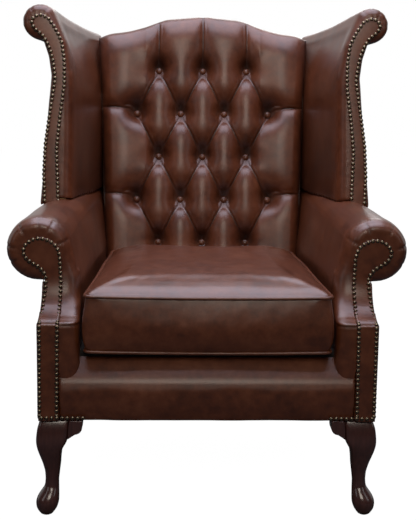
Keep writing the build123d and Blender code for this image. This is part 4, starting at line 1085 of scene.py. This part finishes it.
def cushion_plan(grow):
    """Plan of the cushion as a ring of points, sides drawn in, corners rounded."""
    front, rear = CUSHION_FRONT - grow, CUSHION_REAR + grow
    front_half, rear_half = CUSHION_FRONT_HALF + grow, CUSHION_REAR_HALF + grow
    corners = [(-front_half, front), (front_half, front), (rear_half, rear), (-rear_half, rear)]
    corners = np.array(corners)
    ring = []
    radius = CUSHION_CORNER
    for before, here, after in zip(np.roll(corners, 1, axis=0), corners, np.roll(corners, -1, axis=0)):
        to_before = (before - here) / np.linalg.norm(before - here)
        to_after = (after - here) / np.linalg.norm(after - here)
        for share in np.linspace(0, 1, 14):
            a = here + to_before * radius * (1 - share)
            b = here + to_after * radius * share
            ring.append(a + (b - a) * share)
        length = np.linalg.norm(after - here) - 2 * radius
        inward = np.array((-to_after[1], to_after[0]))
        for share in np.linspace(0, 1, 46)[1:-1]:
            spot = here + to_after * (radius + length * share)
            ring.append(spot + inward * CUSHION_DRAW * sin(pi * share))
    return np.array(ring)


def cushion_shape():
    """The cushion before it is blown up: bottom, boxing and a low crown."""
    levels = [(CUSHION_BASE, -inward) for inward in (0.19, 0.06, 0.014)] + [(LOW_SEAM, -0.002)]
    for share in np.linspace(0.1, 0.9, 9):
        swell = BOXING_SWELL * sin(pi * share**0.75)
        levels.append((LOW_SEAM + (HIGH_SEAM - LOW_SEAM) * share, swell - 0.002))
    levels += [(HIGH_SEAM + rise, -inward) for rise, inward in CROWN]
    rings = [[(x, y, level) for x, y in cushion_plan(grow)] for level, grow in levels]
    return ringed_mesh("cushion", rings)


def blow_up(piece, pinned, cap, pressure=4.0):
    """Fill a cover by pressure, with its seams held and its swell capped."""
    mesh = piece.data
    before = points_of(mesh)
    group = piece.vertex_groups.new(name="held")
    weights = np.clip(pinned(before), 0, 1)
    for index in np.nonzero(weights > 0.01)[0]:
        group.add([int(index)], float(weights[index]), "REPLACE")
    cloth = piece.modifiers.new("fill", "CLOTH")
    settings = cloth.settings
    settings.quality = 6
    settings.mass = 0.4
    settings.tension_stiffness = 25
    settings.compression_stiffness = 25
    settings.shear_stiffness = 12
    settings.bending_stiffness = 2.0
    settings.use_pressure = True
    settings.uniform_pressure_force = pressure
    settings.vertex_group_mass = "held"
    settings.effector_weights.gravity = 0
    cloth.collision_settings.use_collision = False
    cloth.collision_settings.use_self_collision = False
    for number in range(1, 21):
        scene.frame_set(number)
    applied(piece)
    after = points_of(piece.data)
    moved = after - before
    length = np.linalg.norm(moved, axis=1)
    move_points(piece.data, before + moved * np.minimum(1, cap / np.maximum(length, 1e-9))[:, None])
    piece.vertex_groups.clear()
    scene.frame_set(1)


cushion = link_object("seat_cushion_cover", cushion_shape())
even_skin(cushion, CUSHION_STEP)
applied(cushion)


def cushion_held(points):
    """The seams and the underside stay where they are sewn or rest."""
    low = np.clip(1 - np.abs(points[:, 2] - LOW_SEAM) / 0.006, 0, 1)
    high = np.clip(1 - np.abs(points[:, 2] - HIGH_SEAM) / 0.005, 0, 1)
    return np.maximum(np.maximum(low, high), points[:, 2] < LOW_SEAM)


def settled(points):
    """Points let down, more towards the rear, with a dip and a draw at mid front."""
    high = np.clip((points[:, 2] - LOW_SEAM) / (HIGH_SEAM - LOW_SEAM), 0, 1)
    points = points.copy()
    points[:, 2] -= high * (SETTLE_ALL + SETTLE_REAR * past(points[:, 1], -0.12, 0.24))
    middle = np.clip(1 - (points[:, 0] / 0.25) ** 2, 0, 1)
    at_front = middle * short_of(points[:, 1], -0.33, 0.06)
    points[:, 2] -= FRONT_DIP * at_front
    points[:, 1] -= FRONT_DRAW * at_front * np.sin(pi * high**0.75)
    return points


blow_up(cushion, cushion_held, SWELL_CAP)
points, normals = skin_of(cushion.data)
low_edge, high_edge = [np.exp(-(np.abs(points[:, 2] - seam) / 0.003)) for seam in (LOW_SEAM, HIGH_SEAM)]
soft = ripple(points, (0.10, 0.0018, 8.0), (0.028, 0.0005, 9.0))
soft[points[:, 2] < LOW_SEAM] = 0
move_points(cushion.data, settled(points + normals * soft[:, None]))
# Darker along both piped seams: dye and painted shade
paint_dye_and_shade(cushion.data, np.maximum(low_edge, high_edge) * 0.4)
finished(cushion, hide, "leather", "seat_cushion", 0.85, "seat_cushion")

# Piping: a strip of the same hide sewn round a cord, and that into the cushion's top and
# bottom seams all the way round.
PIPING_RADIUS = 0.0035
CORD_STEP = 0.004
piping_group, given, made = new_group("piping along a seam", ("Cord Radius", "Float"))
seam = put(piping_group, "GeometryNodeMeshToCurve", {"Mesh": given.outputs["Geometry"]})
stepped = put(
    piping_group, "GeometryNodeResampleCurve", {"Curve": seam.outputs[0], "Length": CORD_STEP}, mode="LENGTH"
)
circle = put(
    piping_group,
    "GeometryNodeCurvePrimitiveCircle",
    {"Resolution": 12, "Radius": given.outputs["Cord Radius"]},
)
tube = put(
    piping_group, "GeometryNodeCurveToMesh", {"Curve": stepped.outputs[0], "Profile Curve": circle.outputs[0]}
)
end_group(piping_group, tube, given, made)
seam_points, seam_edges = [], []
for seam_level in (LOW_SEAM, HIGH_SEAM):
    start = len(seam_points)
    ring = cushion_plan(0)
    seam_points += settled(np.array([(x, y, seam_level) for x, y in ring])).tolist()
    seam_edges += [(start + i, start + (i + 1) % len(ring)) for i in range(len(ring))]
seam_mesh = bpy.data.meshes.new("piping")
seam_mesh.from_pydata(seam_points, seam_edges, [])
cord = {"Cord Radius": PIPING_RADIUS, "Finish": hide}
piping = made_by(piping_group, "cushion_piping_cover", seam_mesh, **cord)
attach(piping, "seat_cushion")
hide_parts("cushion_piping")

# Legs and knee brackets: mahogany, carved and turned, stained nearly black and french
# polished. The front legs are bolted to the frame and the brackets glued beside them.
PORES = (260, 260, 16)  # streaks to the metre: about 4 mm wide and 60 mm long
mahogany, tree, shader = new_material("french polished dark mahogany")
place = put(tree, "ShaderNodeTexCoord").outputs["Object"]
stretch = put(tree, "ShaderNodeMapping", {"Vector": place, "Scale": PORES})
pores = put(tree, "ShaderNodeTexNoise", {"Vector": stretch.outputs[0], "Scale": 1.0, "Detail": 5.0})
figure = put(tree, "ShaderNodeValToRGB", {"Fac": pores.outputs["Fac"]})
spread(figure, "#2a1614", "#5b342d")
feed(tree, shader, {"Base Color": figure.outputs[0], "Roughness": 0.28})
feed(tree, shader, {"Coat Weight": 0.9, "Coat Roughness": 0.1})
LEG_CORNER = (0.344, -0.404)
LEG_BLOCK = 0.062
LEG_HEIGHT = 0.208
BRACKET_FORWARD = 0.009
# In shares of the leg's height: how high. In shares of its block: how far in from the
# corner and half how wide. Then how far from square, at 0, to round, at 1.
LEG_TABLE = (
    (1.0, 0.5, 0.485, 0.18), (0.957, 0.453, 0.502, 0.22), (0.913, 0.42, 0.515, 0.25),
    (0.858, 0.403, 0.527, 0.29), (0.803, 0.387, 0.5325, 0.33), (0.755, 0.354, 0.502, 0.39),
    (0.71, 0.319, 0.444, 0.45), (0.673, 0.306, 0.403, 0.5), (0.6, 0.327, 0.35, 0.6),
    (0.529, 0.355, 0.3065, 0.7), (0.44, 0.37, 0.252, 0.85), (0.354, 0.36, 0.226, 1.0),
    (0.282, 0.348, 0.24, 1.0), (0.21, 0.26, 0.335, 1.0), (0.173, 0.226, 0.37, 1.0),
    (0.137, 0.205, 0.386, 1.0), (0.101, 0.192, 0.372, 1.0), (0.065, 0.18, 0.335, 1.0),
    (0.034, 0.175, 0.27, 1.0), (0.0096, 0.175, 0.2, 1.0),
)


def cabriole(side_name, sign):
    """One front leg: square at its block, swelling at the knee, round at the foot."""
    table = np.array(LEG_TABLE)[::-1]
    levels = np.linspace(table[0, 0], 1, 90)
    values = [np.interp(levels, table[:, 0], table[:, column]) for column in (1, 2, 3)]
    for _ in range(3):
        values = [np.concatenate([v[:1], (v[:-2] + 2 * v[1:-1] + v[2:]) / 4, v[-1:]]) for v in values]
    turns = [2 * pi * (step + 0.5) / 40 for step in range(40)]
    rings = []
    for level, inward, half, roundness in zip(levels, *values):
        ring = []
        for turn in turns:
            across = abs(cos(turn)) ** roundness * np.sign(cos(turn))
            along = abs(sin(turn)) ** roundness * np.sign(sin(turn))
            x = LEG_CORNER[0] + LEG_BLOCK * (half * across - inward)
            y = LEG_CORNER[1] + LEG_BLOCK * (half * along + inward)
            ring.append((x * sign, y, LEG_HEIGHT * level - (0.0003 if level > 0.999 else 0)))
        rings.append(ring)
    return link_object("cabriole_leg_" + side_name, ringed_mesh("cabriole leg", rings))


for side_name, sign in SIDES:
    leg = cabriole(side_name, sign)
    finished(leg, mahogany, "mahogany", "chair", None, "front_leg_" + side_name)
    for stem, step in (("knee_brackets_", 0.0012), ("rear_leg_", 0.0018)):
        carved = upholstered(stem + side_name + "_polished", stem + side_name, step, 4)
        points, normals = skin_of(carved.data)
        if stem == "knee_brackets_":
            front = (np.abs(points[:, 0]) < 0.312) * short_of(normals[:, 1], 0.2, 0.4)
            points[:, 1] -= BRACKET_FORWARD * front
            move_points(carved.data, points)
        finished(carved, mahogany, "mahogany", "chair", None, stem + side_name)

# Glides and hanger bolts: zinc plated steel, the glides pressed into the feet and the
# bolts screwed into the legs. The dust cover is black spun cloth, tacked under the rails.
WEAR = 180.0  # patches to the metre, about 6 mm each
steel, tree, shader = new_material("zinc plated steel")
place = put(tree, "ShaderNodeTexCoord").outputs["Object"]
wear = put(tree, "ShaderNodeTexNoise", {"Vector": place, "Scale": WEAR, "Detail": 3.0})
dull = put(tree, "ShaderNodeMapRange", {0: wear.outputs["Fac"], 3: 0.25, 4: 0.5})
feed(tree, shader, {"Base Color": linear("#9fa1a3"), "Metallic": 1.0, "Roughness": dull.outputs[0]})
dress(steel, "steel", "foot_glides", "leg_bolts")
spun_cloth = streaked("black spun dust cloth", "#1d1d1f", "#101011", 1.0, 0.95, 0)
dress(spun_cloth, "dust_cloth", "dust_cover")
